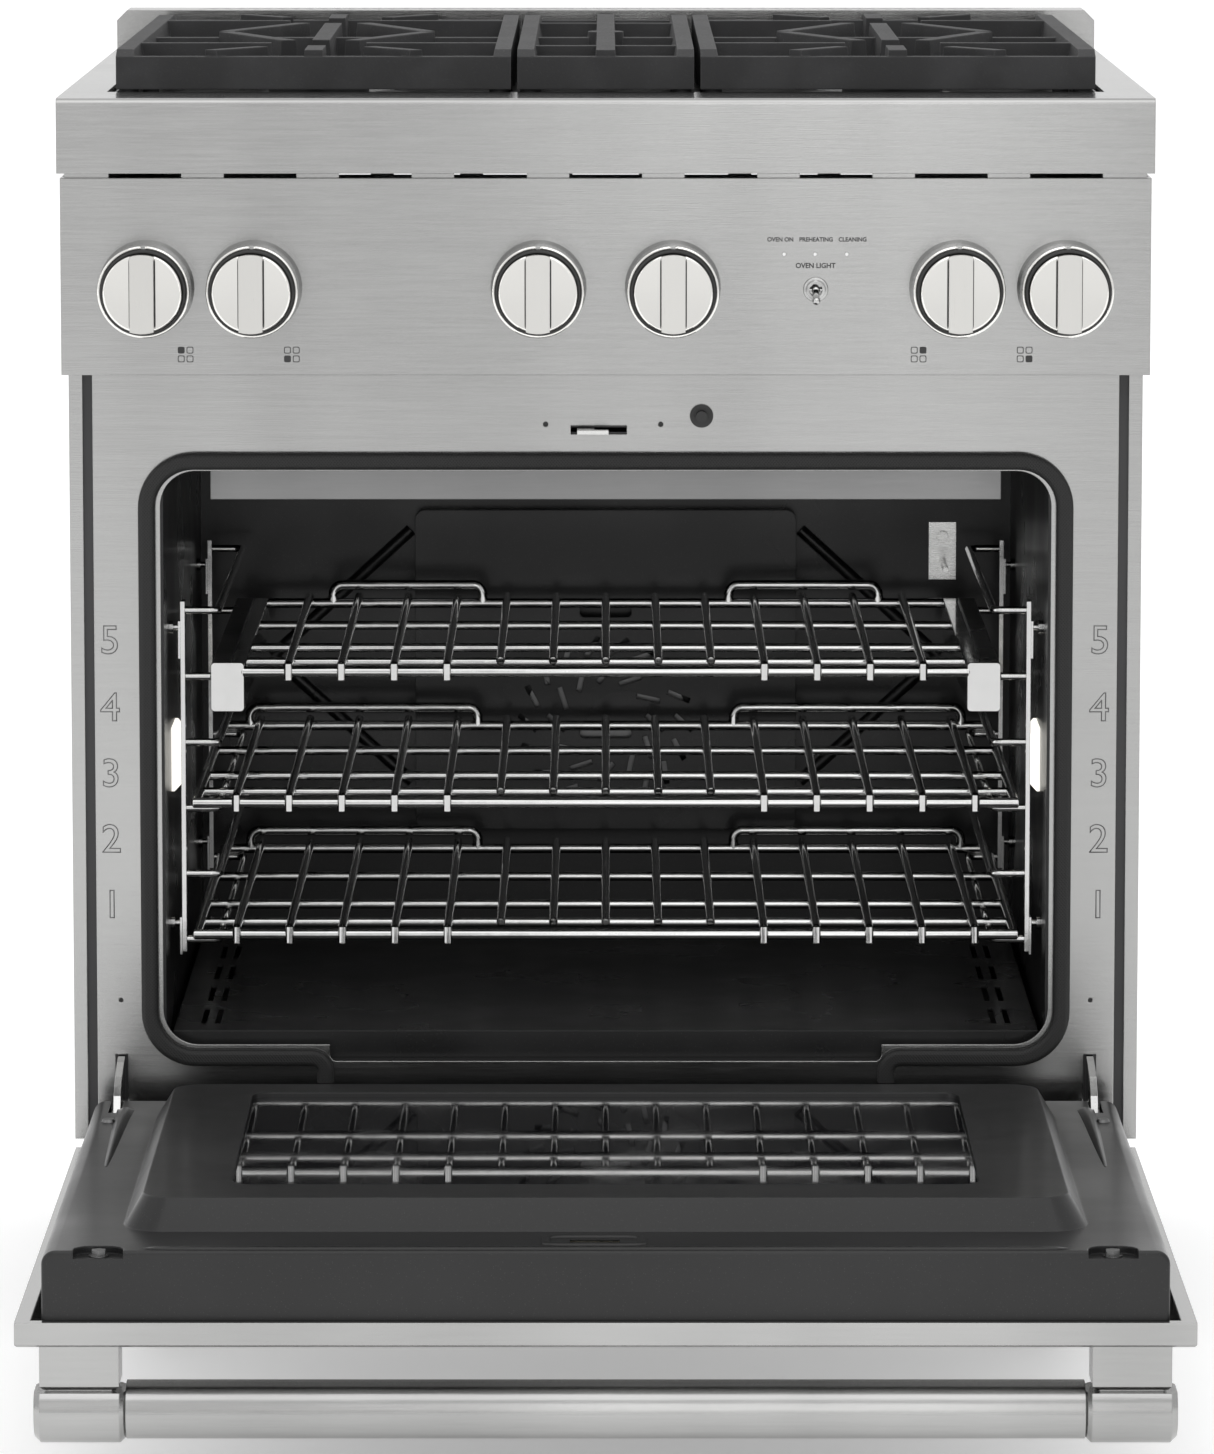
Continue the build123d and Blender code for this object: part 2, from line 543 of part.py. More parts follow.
# -------------------------------------------------------- control panel
panel = blk(-panel_hw, panel_hw, panel_front, panel_front + face_t, panel_low, panel_top)
panel += blk(-panel_hw, panel_hw, panel_front, front_y, panel_low, panel_low + sheet)
panel += blk(-inner_hw, inner_hw, front_y, frame_back, panel_low, panel_low + sheet)
panel += blk(-panel_hw, panel_hw, panel_front, panel_front + 14, panel_top - sheet, panel_top)
for s in (-1, 1):
    panel += blk(s * (panel_hw - sheet), s * panel_hw, panel_front, front_y, panel_low, panel_top)
strip = blk(-panel_hw + 3, panel_hw - 3, panel_front + 3, panel_front + 4.5, panel_top - sheet, trim_z)
slot_pitch, slot_len = 79.9, 50.4
strip -= [blk(i * slot_pitch - slot_len / 2, i * slot_pitch + slot_len / 2, panel_front, panel_front + 9, panel_top + 0.2, trim_z - 0.6)
          for i in range(-4, 5)]
panel += strip
knobs_x = [-knob_x, -knob_x + knob_pitch, -knob_mid, knob_mid, knob_x - knob_pitch, knob_x]
panel -= [rod((x, panel_front - 5, knob_z), (x, panel_front + 9, knob_z), 6.5) for x in knobs_x]
panel -= rod((lug_x, panel_front - 5, panel_top - lug_drop), (lug_x, panel_front + 9, panel_top - lug_drop), 6)
led_z = panel_top - led_drop
leds_x = [123.8, 145.3, 167.3]
panel -= [rod((x, panel_front - 5, led_z), (x, panel_front + 9, led_z), 1.2) for x in leds_x]
put("control_panel", panel)

rings = []
for x in knobs_x:
    ring = rod((x, panel_front, knob_z), (x, panel_front - 8, knob_z), bezel_r + 1.6, bezel_r)
    ring += rod((x, panel_front - 6, knob_z), (x, panel_front - bezel_out, knob_z), bezel_r)
    ring -= rod((x, panel_front - 3, knob_z), (x, panel_front - bezel_out - 5, knob_z), bezel_r - bezel_wall)
    ring -= rod((x, panel_front + 5, knob_z), (x, panel_front - 9, knob_z), 10)
    ring -= blk(x - 2, x + 2, panel_front - bezel_out - 1, panel_front - bezel_out + 5, knob_z + bezel_r - 1.4, knob_z + bezel_r + 5)
    rings.append(ring)
put("knob_bezels", rings)

knob_names = ["knob_left_front", "knob_left_rear", "knob_oven_mode", "knob_oven_temp", "knob_right_rear", "knob_right_front"]
for name, x in zip(knob_names, knobs_x):
    face_y = panel_front - knob_out
    knob = rod((x, face_y + 30, knob_z), (x, face_y, knob_z), knob_r)
    knob = fillet(knob.edges().sort_by(Axis.Y)[0], 1.2)
    grip = blk(x - grip_w / 2, x + grip_w / 2, face_y - grip_h, face_y + 2, knob_z - knob_r, knob_z + knob_r)
    grip &= rod((x, face_y + 5, knob_z), (x, face_y - grip_h - 1, knob_z), knob_r)
    knob += grip
    knob -= rod((x, face_y + 31, knob_z), (x, face_y + 6, knob_z), knob_r - 2.5)
    knob += rod((x, face_y + 30, knob_z), (x, face_y + 4, knob_z), 8)
    oven_knob = "oven" in name
    stem_end = face_y + 12
    r = stem_r if oven_knob else stem_r + stem_clear
    knob -= rod((x, face_y + 31, knob_z), (x, stem_end - 0.3, knob_z), r)
    if oven_knob:
        stem = rod((x, stem_end - 0.3, knob_z), (x, panel_front + 24, knob_z), stem_r)
        put(name, knob, stem)
    else:
        put(name, knob)
        stem = rod((x, stem_end, knob_z), (x, panel_front + 40, knob_z), stem_r)
        stem += rod((x, panel_front - 4, knob_z), (x, panel_front - 5.5, knob_z), 5)
        put(name.replace("knob", "stem"), stem)

# manifold with one valve behind each burner knob, oven controls, inlet pipe
man_y, man_r = panel_front + 58, 10.0
man_z = knob_z + 18
pipe_x = inlet_x
manifold = rod((-knob_x - 24, man_y + 22, man_z), (pipe_x + 8, man_y + 22, man_z), man_r)
for x in knobs_x:
    if abs(x) < 60:
        continue
    body = blk(x - 13, x + 13, panel_front + 18, man_y - 4, knob_z - 13, knob_z + 15)
    body += blk(x - 8, x + 8, man_y - 5, man_y + 16, knob_z + 8, knob_z + 15)
    body += blk(x - 8, x + 8, man_y + 10, man_y + 24, knob_z + 8, man_z)
    body += rod((x, panel_front + 2, knob_z), (x, panel_front + 19, knob_z), 6)
    body -= rod((x, panel_front - 1, knob_z), (x, panel_front + 46, knob_z), stem_r + stem_clear)
    manifold += body
manifold += tube([(pipe_x, man_y + 22, man_z), (pipe_x, rear_y - 70, man_z), (pipe_x, rear_y - 70, inlet_z), (pipe_x, rear_y - 2, inlet_z)], 10.65, 26)
put("gas_manifold", manifold)

controls = []
for x in (-knob_mid, knob_mid):
    box = blk(x - 22, x + 22, panel_front + face_t, panel_front + 34, knob_z - 24, knob_z + 24)
    box -= rod((x, panel_front, knob_z), (x, panel_front + 24.5, knob_z), stem_r + 0.05)
    controls.append(box)
put("oven_controls", controls)

lug_z = panel_top - lug_drop
lug = rod((lug_x, panel_front + face_t, lug_z), (lug_x, panel_front - 2, lug_z), 5.95)
lug += rod((lug_x, panel_front, lug_z), (lug_x, panel_front - 2, lug_z), 8.8, 8.2)
lug += rod((lug_x, panel_front - 2, lug_z), (lug_x, panel_front - 7, lug_z), 7, 6.2)
lug += blk(lug_x - 7, lug_x + 7, panel_front + face_t, panel_front + 24, lug_z - 12, lug_z + 12)
bat_y = panel_front - 4.2
tilt = math.radians(26)
lug -= rod((lug_x, panel_front + 4, lug_z), (lug_x, panel_front - 8, lug_z), 4.6)
lug -= rod((lug_x - 6, bat_y, lug_z), (lug_x + 6, bat_y, lug_z), 0.96)
put("toggle_switch", lug)
bat = rod((lug_x, bat_y, lug_z), (lug_x, bat_y - bat_len * math.cos(tilt), lug_z - bat_len * math.sin(tilt)), 1.7, 2.8)
bat += Pos(lug_x, bat_y, lug_z) * Sphere(2.9)
bat += Pos(lug_x, bat_y - bat_len * math.cos(tilt), lug_z - bat_len * math.sin(tilt)) * Sphere(2.8)
bat_pin = rod((lug_x - 5.6, bat_y, lug_z), (lug_x + 5.6, bat_y, lug_z), 0.9)
put("toggle_lever", bat + bat_pin)
put("indicator_lights", [rod((x, panel_front - 0.8, led_z), (x, panel_front + 4, led_z), 1.2) for x in leds_x])

# --------------------------------------------------------------- cooktop
ins = trim_t
trim = blk(-half_w, half_w, 0, guard_y, trim_z, top_z)
trim = fillet(trim.edges().filter_by(Axis.X).sort_by(Axis.Z)[-2:].sort_by(Axis.Y)[0], 4)
trim -= blk(-half_w + ins, half_w - ins, ins, guard_y - ins, trim_z - 1, top_z - ins)
trim += blk(-half_w + 0.5, half_w - 0.5, 0.5, 16, trim_z, trim_z + 1.5)
for s in (-1, 1):
    trim += blk(s * (half_w - 12), s * (half_w - 0.5), 0.5, guard_y, trim_z, trim_z + 1.5)
trim -= blk(-opening_hw, opening_hw, ledge_front, guard_y - ledge_rear, trim_z - 1, top_z + 1)
well = blk(-opening_hw - sheet, opening_hw + sheet, ledge_front - sheet, guard_y - ledge_rear + sheet, tray_z - sheet, top_z)
well -= blk(-opening_hw, opening_hw, ledge_front, guard_y - ledge_rear, tray_z, top_z + 1)
well -= blk(-opening_hw + 11, opening_hw - 11, ledge_front + 11, guard_y - ledge_rear - 11, tray_z - 5, top_z + 1)
trim += well
put("island_trim", trim)

tray_y0, tray_y1 = ledge_front + 2, guard_y - ledge_rear - 2
tray = blk(-tray_hw, tray_hw, tray_y0, tray_y1, tray_z, top_z - 3)
tray -= blk(-tray_hw + sheet, tray_hw - sheet, tray_y0 + sheet, tray_y1 - sheet, tray_z + sheet, top_z)
side_cx = (grate_hw + grate_mid_w / 2 + grate_split) / 2
burners = [(s * side_cx, y) for s in (-1, 1) for y in (grate_y0 + burner_in, grate_y1 - burner_in)]
for x, y in burners:
    tray += rod((x, y, tray_z), (x, y, tray_z + 4), burner_r + 16, burner_r + 6)
    tray -= rod((x, y, tray_z - 5), (x, y, tray_z + 9), 20)
put("burner_tray", tray)

bases, caps = [], []
for x, y in burners:
    z = tray_z + 4
    base = rod((x, y, z), (x, y, z + 8), burner_r, burner_r - 3)
    base += rod((x, y, z + 7), (x, y, z + 17), 31)
    base += rod((x, y, z - 26), (x, y, z + 1), 19.6)
    base -= rod((x, y, z - 27), (x, y, z + 8), 15)
    ports = [Pos(x, y, z + 13) * Rot(0, 0, 15 * i) * Pos(31, 0, 0) * Box(8, 1.6, 5) for i in range(24)]
    base -= ports
    pin_x = x + (burner_r - 8)
    base += rod((pin_x, y, z), (pin_x, y, z + 17), 2.6)
    bases.append(base)
    cap = rod((x, y, z + 17), (x, y, z + 21), cap_r)
    cap += rod((x, y, z + 21), (x, y, z + 24), cap_r, cap_r - 5)
    cap -= rod((pin_x, y, z), (pin_x, y, z + 40), 4.5)
    caps.append(cap)
put("burner_bases", bases)
put("burner_caps", caps)

guard_top = top_z + guard_over
guard = blk(-half_w, half_w, guard_y, body_d, trim_z, guard_top)
guard = chamfer(guard.edges().filter_by(Axis.Y).sort_by(Axis.Z)[-2:], 8)
guard -= blk(-half_w + sheet, half_w - sheet, guard_y + sheet, body_d - sheet, trim_z - 1, guard_top - 8 - sheet)
guard -= blk(-half_w + 9, half_w - 9, guard_y + sheet, body_d - sheet, trim_z, guard_top - sheet)
n_vents = int((range_w - 128) / vent_pitch)
slits = [Pos((i - (n_vents - 1) / 2) * vent_pitch, (guard_y + body_d) / 2, guard_top - 1) * Rot(0, 0, -38) * Box(vent_w, 22, 6)
         for i in range(n_vents)]
guard -= slits
guard += blk(-half_w + sheet, half_w - sheet, guard_y + sheet, rear_y - sheet, trim_z, trim_z + sheet)
put("backguard", guard)

# ---------------------------------------------------------------- grates
cook_z = top_z + grate_over
rail_z = cook_z - grate_low
low_z = top_z + 1.5
mid_y = (grate_y0 + grate_y1) / 2


def long_rail(x_out, sign):
    """Side rail, upright outside and sloped inside, ends cut back at the top."""
    rail = bar((x_out, grate_y0), (x_out, grate_y1),
               [(0, low_z), (-sign * grate_rail, low_z), (-sign * (grate_rail - 5.5), cook_z), (0, cook_z)])
    for y, d in ((grate_y0, 1), (grate_y1, -1)):
        wedge = Plane(origin=(x_out - 40, y, 0), x_dir=(0, 1, 0), z_dir=(1, 0, 0)) * make_face(
            Polyline((-d, rail_z - 0.4), (d * 13, cook_z + 0.01), (d * 13, cook_z + 4), (-d, cook_z + 4), close=True))
        rail -= extrude(wedge, amount=80)
    return rail


def grate(x0, x1, fingers):
    parts = [long_rail(x0, 1), long_rail(x1, -1)]
    for y, d in ((grate_y0, 1), (grate_y1, -1)):
        parts.append(bar((x0, y), (x1, y), [(0, low_z), (d * 15, low_z), (d * 10, rail_z), (0, rail_z)]))
    parts.append(rib((x0 + 4, mid_y), (x1 - 4, mid_y), 11, 16, low_z + 3, rail_z))
    parts += fingers
    for x in (x0 + 8.5, x1 - 8.5):
        for y in (grate_y0 + 9, grate_y1 - 9, mid_y):
            parts.append(rod((x, y, tray_z + sheet), (x, y, low_z + 2), 5.5, 7))
    return joined(parts[0], parts[1:])


def side_fingers(cx, hw):
    found = []
    f0 = low_z + 5
    for y, d in ((grate_y0, 1), (grate_y1, -1)):
        yb = y + d * burner_in
        for s in (-1, 1):
            found.append(rib((cx + s * (hw - 8), yb), (cx + s * 34, yb), 9, 13, f0, cook_z))
            found.append(rib((cx + s * 72, y + d * 5), (cx + s * 38, y + d * 52), 10, 14, f0, cook_z))
            found.append(rib((cx + s * 74, mid_y - d * 4), (cx + s * 23, yb + d * 36), 11, 15, f0, cook_z))
        found.append(rib((cx, y + d * 3), (cx, yb - d * 36), 12.5, 16, f0, cook_z))
        found.append(rib((cx, mid_y), (cx, yb + d * 40), 12.5, 16, f0, cook_z))
    return found


def mid_fingers():
    found = []
    f0 = low_z + 5
    found.append(rib((0, grate_y0 + 3), (0, grate_y1 - 3), 13, 17, f0, cook_z))
    found.append(rod((0, mid_y, f0), (0, mid_y, cook_z), 15, 13))
    for y, d in ((grate_y0, 1), (grate_y1, -1)):
        found.append(rib((-grate_mid_w / 2 + 8, y + d * burner_in), (grate_mid_w / 2 - 8, y + d * burner_in), 9, 13, f0, cook_z - 2))
    return found


gx0, gx1 = grate_mid_w / 2 + grate_split, grate_hw
put("grate_left", grate(-gx1, -gx0, side_fingers(-(gx0 + gx1) / 2, (gx1 - gx0) / 2)))
put("grate_right", grate(gx0, gx1, side_fingers((gx0 + gx1) / 2, (gx1 - gx0) / 2)))
put("grate_middle", grate(-grate_mid_w / 2, grate_mid_w / 2, mid_fingers()))

# ------------------------------------------- latch, door switch, hinges
hook_x0, hook_x1 = latch_x0 + 4.6, latch_x0 + 16.6
hook = blk(hook_x0, hook_x1, liner_y - 10, frame_back + 28, latch_z - latch_t / 2, latch_z + latch_t / 2)
hook += blk(hook_x0, hook_x1 + 10, liner_y - 10, liner_y - 4, latch_z - latch_t / 2, latch_z + latch_t / 2)
put("latch_hook", hook)

sw = rod((switch_x, front_y - 2.2, switch_z), (switch_x, front_y, switch_z), switch_r)
sw += rod((switch_x, front_y - 1, switch_z), (switch_x, frame_back + 20, switch_z), switch_r - 1.05)
sw -= rod((switch_x, front_y - 5, switch_z), (switch_x, frame_back + 16, switch_z), plunger_r + 0.05)
put("door_switch_housing", sw)
pl = rod((switch_x, liner_y + 0.4, switch_z), (switch_x, frame_back + 8, switch_z), plunger_r)
put("door_switch_plunger", pl)

claw = Plane(origin=(hinge_x - arm_t / 2, 0, 0), x_dir=(0, 1, 0), z_dir=(1, 0, 0)) * make_face(Polyline(
    (frame_back + 42, liner_low - 8), (frame_back + 42, liner_low + 24), (frame_back - 4, liner_low + 24),
    (hinge_y + 13, liner_low + 22), (hinge_y - 10, liner_low + 16), (hinge_y - 26, liner_low + 5),
    (hinge_y - 33, liner_low - 9), (hinge_y - 30, liner_low - 14), (hinge_y - 8, liner_low - 26), (hinge_y + 6, liner_low - 26),
    (hinge_y + 11, liner_low - 18), (hinge_y + 11.5, liner_low - 6), (frame_back - 4, liner_low - 8), close=True))
arm = extrude(claw, amount=arm_t)
arm -= rod((hinge_x - 20, hinge_y, hinge_z), (hinge_x + 20, hinge_y, hinge_z), pin_r + pin_clear)
put("hinge_arms", both(arm))

# ----------------------------------------------------------------- door
skin = blk(-door_hw, door_hw, skin_y, skin_y + door_lip, door_bottom, door_top)
skin = chamfer(skin.edges().filter_by(Axis.X).group_by(Axis.Y)[0] + skin.edges().filter_by(Axis.Z).group_by(Axis.Y)[0], 1.5)
skin -= blk(-door_hw + door_t, door_hw - door_t, skin_y + door_t, skin_y + 40, door_bottom + door_t, door_top - door_t)
for s in (-1, 1):
    skin += blk(s * (door_hw - 10), s * (door_hw - 0.2), skin_y + door_lip - door_t, skin_y + door_lip, door_bottom + 0.2, door_top - 0.2)
for z0, z1 in ((door_bottom + 0.2, door_bottom + 10), (door_top - 7, door_top - 0.2)):
    skin += blk(-door_hw + 0.2, door_hw - 0.2, skin_y + door_lip - door_t, skin_y + door_lip, z0, z1)
out_low, out_top = win_low + outer_win_in, win_top - outer_win_in
skin -= pane(-glass_hw, glass_hw, out_low, out_top, 12, skin_y - 5, skin_y + 5)
put("door_skin", skin, door=True)

in_y = skin_y + door_t                 # inside of the skin
screw_x, screw_z = frame_hw - 15.2, liner_low + 75.4
bolt_x, bolt_z = plat_hw + 11.5, liner_top - 8.5


def liner_box(inset, y0):
    """The liner's outer body with rolled side and top edges, drawn in by inset."""
    box = blk(-frame_hw + inset, frame_hw - inset, y0, liner_y - inset, liner_low + inset, liner_top - inset)
    box = fillet(box.edges().filter_by(Axis.Z).group_by(Axis.Y)[-1], liner_side_r - inset)
    top = [e for e in box.faces().sort_by(Axis.Z)[-1].edges() if e.center().Y > liner_y - liner_side_r]
    return fillet(top, liner_top_r - inset)


liner = liner_box(0, in_y)
liner -= liner_box(door_t, in_y - 1)
for s in (-1, 1):
    wall = pocket_hw + door_t
    cup = blk(s * bolt_x - wall, s * bolt_x + wall, liner_y - pocket_d - door_t, liner_y, liner_top - wall, liner_top)
    liner += cup & liner_box(0, in_y)
pockets = []
for s in (-1, 1):
    cut = blk(s * bolt_x - pocket_hw, s * bolt_x + pocket_hw, liner_y - pocket_d, liner_y + 5, liner_top - pocket_hw, liner_top + 30)
    pockets.append(fillet(cut.edges().filter_by(Axis.Y).sort_by(Axis.Z)[:2], 11))
liner -= pockets
px, pz0, pz1 = plat_hw, plat_low, plat_top


def frustum(inset, y0, y1):
    """Plateau body from the liner plane to its raised face."""
    a = Plane(origin=(0, y0, (pz0 + pz1) / 2), x_dir=(1, 0, 0), z_dir=(0, 1, 0)) * RectangleRounded(2 * (px - inset), pz1 - pz0 - 2 * inset, 26)
    b = Plane(origin=(0, y1, (pz0 + pz1) / 2), x_dir=(1, 0, 0), z_dir=(0, 1, 0)) * RectangleRounded(
        2 * (px - inset - plateau_slope), pz1 - pz0 - 2 * inset - 2 * plateau_slope, 20)
    return loft([a, b])


liner += frustum(0, liner_y, liner_y + plateau_h)
liner -= frustum(door_t + 0.4, liner_y - door_t, liner_y + plateau_h - door_t)
liner -= blk(-px + 16, px - 16, liner_y - 3, liner_y + 3, pz0 + 16, pz1 - 16)
glass_y1 = liner_y + plateau_h - glass_sink
# window tunnel: a flanged frame between the two panes
well_in = pane(-glass_hw, glass_hw, win_low, win_top, 14, in_y - 1, liner_y + plateau_h + 5)
tunnel = pane(-glass_hw - door_t, glass_hw + door_t, win_low - door_t, win_top + door_t, 15, in_y, liner_y + plateau_h)
liner += tunnel
liner -= well_in
ledge = pane(-glass_hw - 0.5, glass_hw + 0.5, win_low - 0.5, win_top + 0.5, 14, glass_y1 - glass_t - 1.5, glass_y1 - glass_t)
ledge -= pane(-glass_hw + 8, glass_hw - 8, win_low + 8, win_top - 8, 8, glass_y1 - glass_t - 5, glass_y1)
liner += ledge
for s in (-1, 1):
    liner -= blk(s * (hinge_x - arm_slot / 2), s * (hinge_x + arm_slot / 2), skin_y + 3, liner_y + 5, hinge_z, hinge_z + 61.5)
    liner -= blk(s * (hinge_x - 12.1), s * (hinge_x + 14.1), in_y - 1, hinge_y + 7.1, liner_low - 1, liner_low + door_t + 0.1)
liner -= blk(hook_x0 - 3, hook_x1 + latch_travel + 3, liner_y - 6, liner_y + 5, latch_z - 6, latch_z + 6)
liner -= [rod((s * screw_x, liner_y - 5, screw_z), (s * screw_x, liner_y + 5, screw_z), 1.9) for s in (-1, 1)]
put("door_liner", liner, door=True)

inner_glass = pane(-glass_hw + 0.3, glass_hw - 0.3, win_low + 0.3, win_top - 0.3, 13.7, glass_y1 - glass_t, glass_y1)
put("door_inner_glass", inner_glass, door=True)
og_y = in_y
outer_glass = pane(-glass_hw + 0.3, glass_hw - 0.3, win_low + 0.3, win_top - 0.3, 13.7, og_y, og_y + 4)
put("door_outer_glass", outer_glass, door=True)

wool_d = liner_box(door_t, in_y)
wool_d -= blk(-glass_hw - door_t, glass_hw + door_t, in_y - 1, liner_y + 5, win_low - door_t, win_top + door_t)
for s in (-1, 1):
    wool_d -= blk(s * (hinge_x - 12), s * (frame_hw + 5), in_y - 1, liner_y + 5, liner_low - 5, hinge_z + 142)
    wall = pocket_hw + door_t + 0.1
    wool_d -= blk(s * bolt_x - wall, s * bolt_x + wall, liner_y - pocket_d - door_t - 0.1, liner_y, liner_top - wall, liner_top)
wool_d -= blk(hook_x0 - 12, hook_x1 + latch_travel + 16, liner_y - 30, liner_y + 5, latch_z - 14, latch_z + 14)
put("door_insulation", wool_d, door=True)

channels = []
for s in (-1, 1):
    gap, wall = arm_t / 2 + 1.0, 1.8
    ch = blk(hinge_x - gap - wall, hinge_x + gap + wall, in_y, hinge_y + 7, hinge_z - 9, hinge_z + 138)
    ch -= blk(hinge_x - gap, hinge_x + gap, in_y + 1.6, liner_y + 5, hinge_z - 10, hinge_z + 132)
    ch -= blk(hinge_x - 20, hinge_x + 20, hinge_y - 8, liner_y, hinge_z + 60, hinge_z + 150)
    ch += rod((hinge_x - gap - wall - 1.6, hinge_y, hinge_z), (hinge_x + gap + wall + 1.6, hinge_y, hinge_z), pin_r)
    ch += blk(hinge_x - 12, hinge_x + 14, in_y, in_y + 1.6, hinge_z - 9, hinge_z + 138)
    ch &= blk(hinge_x - 12, hinge_x + 14, in_y, liner_y, hinge_z - 9, hinge_z + 138)
    if s > 0:
        channels.append(ch)
channels = both(channels[0])

hz = door_top - handle_drop
br_x1 = door_hw - bracket_in
br_x0 = br_x1 - bracket_w
post = blk(br_x0 + 4, br_x1 - 4, skin_y - 30, skin_y, hz - 17, hz + 17)
post = chamfer(post.faces().sort_by(Axis.Y)[0].edges(), 2.5)
neck = blk(br_x0 + 9, br_x1 - 9, skin_y - 36, skin_y - 28, hz - 11, hz + 11)
head = rod((br_x0, skin_y - handle_off, hz), (br_x1, skin_y - handle_off, hz), head_r - 4)
head = rod((br_x0 + 4, skin_y - handle_off, hz), (br_x1 - 4, skin_y - handle_off, hz), head_r)
head += rod((br_x0, skin_y - handle_off, hz), (br_x0 + 4, skin_y - handle_off, hz), head_r - 4, head_r)
head += rod((br_x1 - 4, skin_y - handle_off, hz), (br_x1, skin_y - handle_off, hz), head_r, head_r - 4)
head &= blk(br_x0 - 1, br_x1 + 1, skin_y - 90, skin_y - 32, hz - 40, hz + 40)
bracket = post + neck + head
put("handle_brackets", both(bracket), door=True)
grip_bar = rod((-br_x0, skin_y - handle_off, hz), (br_x0, skin_y - handle_off, hz), handle_r)
grip_bar -= rod((-br_x0 + 1.5, skin_y - handle_off, hz), (br_x0 - 1.5, skin_y - handle_off, hz), handle_r - 2.5)
put("handle_bar", grip_bar, door=True)

screws = []
x, z = screw_x, screw_z
sc = rod((x, liner_y, z), (x, liner_y + 2, z), 4.8, 3.8)
sc -= blk(x - 3, x + 3, liner_y + 1.3, liner_y + 3, z - 0.5, z + 0.5)
sc += rod((x, liner_y - door_t, z), (x, liner_y + 0.5, z), 1.85)
screws += both(sc)
floor_at = liner_y - pocket_d
nut = rod((bolt_x, floor_at, bolt_z), (bolt_x, floor_at + 0.9, bolt_z), bolt_r + 1.6)
nut += extrude(Plane(origin=(bolt_x, floor_at, bolt_z), z_dir=(0, 1, 0)) * RegularPolygon(bolt_r, 6), amount=4.2)
screws += both(nut)
put("door_hardware", channels, screws, door=True)

print("y_mid", y_mid, "hinge", hinge_y - y_mid, hinge_z, "door front", y_open_front - y_mid)
print("rungs", rungs, "seat", seat, "knobs", knobs_x, knob_z)
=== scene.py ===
"""Finishes, pressed and printed details, and the stage of a freestanding gas range."""
import json
import math

import bmesh
import bpy
import numpy as np
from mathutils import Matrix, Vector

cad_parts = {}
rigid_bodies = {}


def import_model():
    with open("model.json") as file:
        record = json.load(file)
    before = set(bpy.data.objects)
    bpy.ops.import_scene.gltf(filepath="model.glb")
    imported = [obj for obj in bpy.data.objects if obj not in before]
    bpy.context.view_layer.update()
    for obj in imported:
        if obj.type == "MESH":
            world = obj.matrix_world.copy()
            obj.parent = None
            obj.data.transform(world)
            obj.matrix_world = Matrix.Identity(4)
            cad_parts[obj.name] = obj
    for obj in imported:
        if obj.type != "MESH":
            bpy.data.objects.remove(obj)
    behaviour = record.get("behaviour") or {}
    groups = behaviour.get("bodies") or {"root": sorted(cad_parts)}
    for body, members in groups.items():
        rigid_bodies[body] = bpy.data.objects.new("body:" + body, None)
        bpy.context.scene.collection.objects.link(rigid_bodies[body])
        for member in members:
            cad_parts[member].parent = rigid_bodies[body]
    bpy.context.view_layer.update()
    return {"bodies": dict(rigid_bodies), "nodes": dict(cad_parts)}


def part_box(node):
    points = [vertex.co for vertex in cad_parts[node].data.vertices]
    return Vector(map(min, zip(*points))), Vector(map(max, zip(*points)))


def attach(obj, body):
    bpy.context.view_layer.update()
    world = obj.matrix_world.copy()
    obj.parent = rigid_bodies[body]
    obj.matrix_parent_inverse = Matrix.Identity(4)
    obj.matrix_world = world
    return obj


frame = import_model()

bl_info = {
    "name": "Gas Range Finishes",
    "version": (1, 0, 0),
    "blender": (4, 5, 0),
    "location": "View3D > Sidebar > Gas Range",
    "description": "Dresses the packed gas range with its finishes and small details",
    "category": "Object",
}

PANEL_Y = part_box("control_panel")[0].y          # front plane of the control panel
FRAME_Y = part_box("front_frame")[0].y            # front plane of the oven front
LINER_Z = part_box("door_liner")[1].z - 0.020     # liner plane of the open door
GRIP_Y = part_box("knob_left_front")[0].y         # front plane of the knobs' grips
GRIP_STAND = 0.0085                             # how far each grip stands in front of its dial
HINGE_Y, HINGE_Z = -0.067, 0.185                # axis of the door
SINK = 0.0001                                   # how deep an added piece is set into the sheet it sits on
DARKER_AND_PAINTED_SHADE = {"door_hardware": "dark_steel", "fan_blade": "dark_steel"}     # dark steel finish: painted shade on the fan blade behind the baffle; the door hardware simply darker
KNOBS = ("knob_left_front", "knob_left_rear", "knob_oven_mode",
         "knob_oven_temp", "knob_right_rear", "knob_right_front")


# ------------------------------------------------------------------ values
def length_value(name, description, default):
    return bpy.props.FloatProperty(name=name, description=description, default=default, unit="LENGTH")


def colour_value(name, description, default):
    return bpy.props.FloatVectorProperty(
        name=name, description=description, subtype="COLOR", default=default, min=0, max=1)


def light_value(name, description, default, unit="NONE"):
    return bpy.props.FloatProperty(name=name, description=description, default=default, min=0, unit=unit)


class RangeSizes(bpy.types.PropertyGroup):
    """Sizes of the added details."""

    numeral_height: length_value("Numeral height", "Height of the rack position numbers", 0.021)
    numeral_line: length_value("Numeral line", "Radius of the raised line of the rack numbers", 0.00042)
    word_height: length_value("Word height", "Height of the printed words", 0.0030)
    icon_size: length_value("Icon size", "Side of a burner position icon", 0.0109)
    print_thickness: length_value("Print thickness", "How far the printing stands proud", 0.00006)
    gusset_height: length_value("Gusset height", "Height of the pressed gussets of the door liner", 0.0042)
    bead_height: length_value("Bead height", "Height of the pressed bead at the door's edge", 0.0018)
    wire_growth: length_value("Wire growth", "Thickness of the plating added to the rack wires", 0.0007)
    screw_radius: length_value("Screw radius", "Head radius of the sheet metal screws", 0.0042)


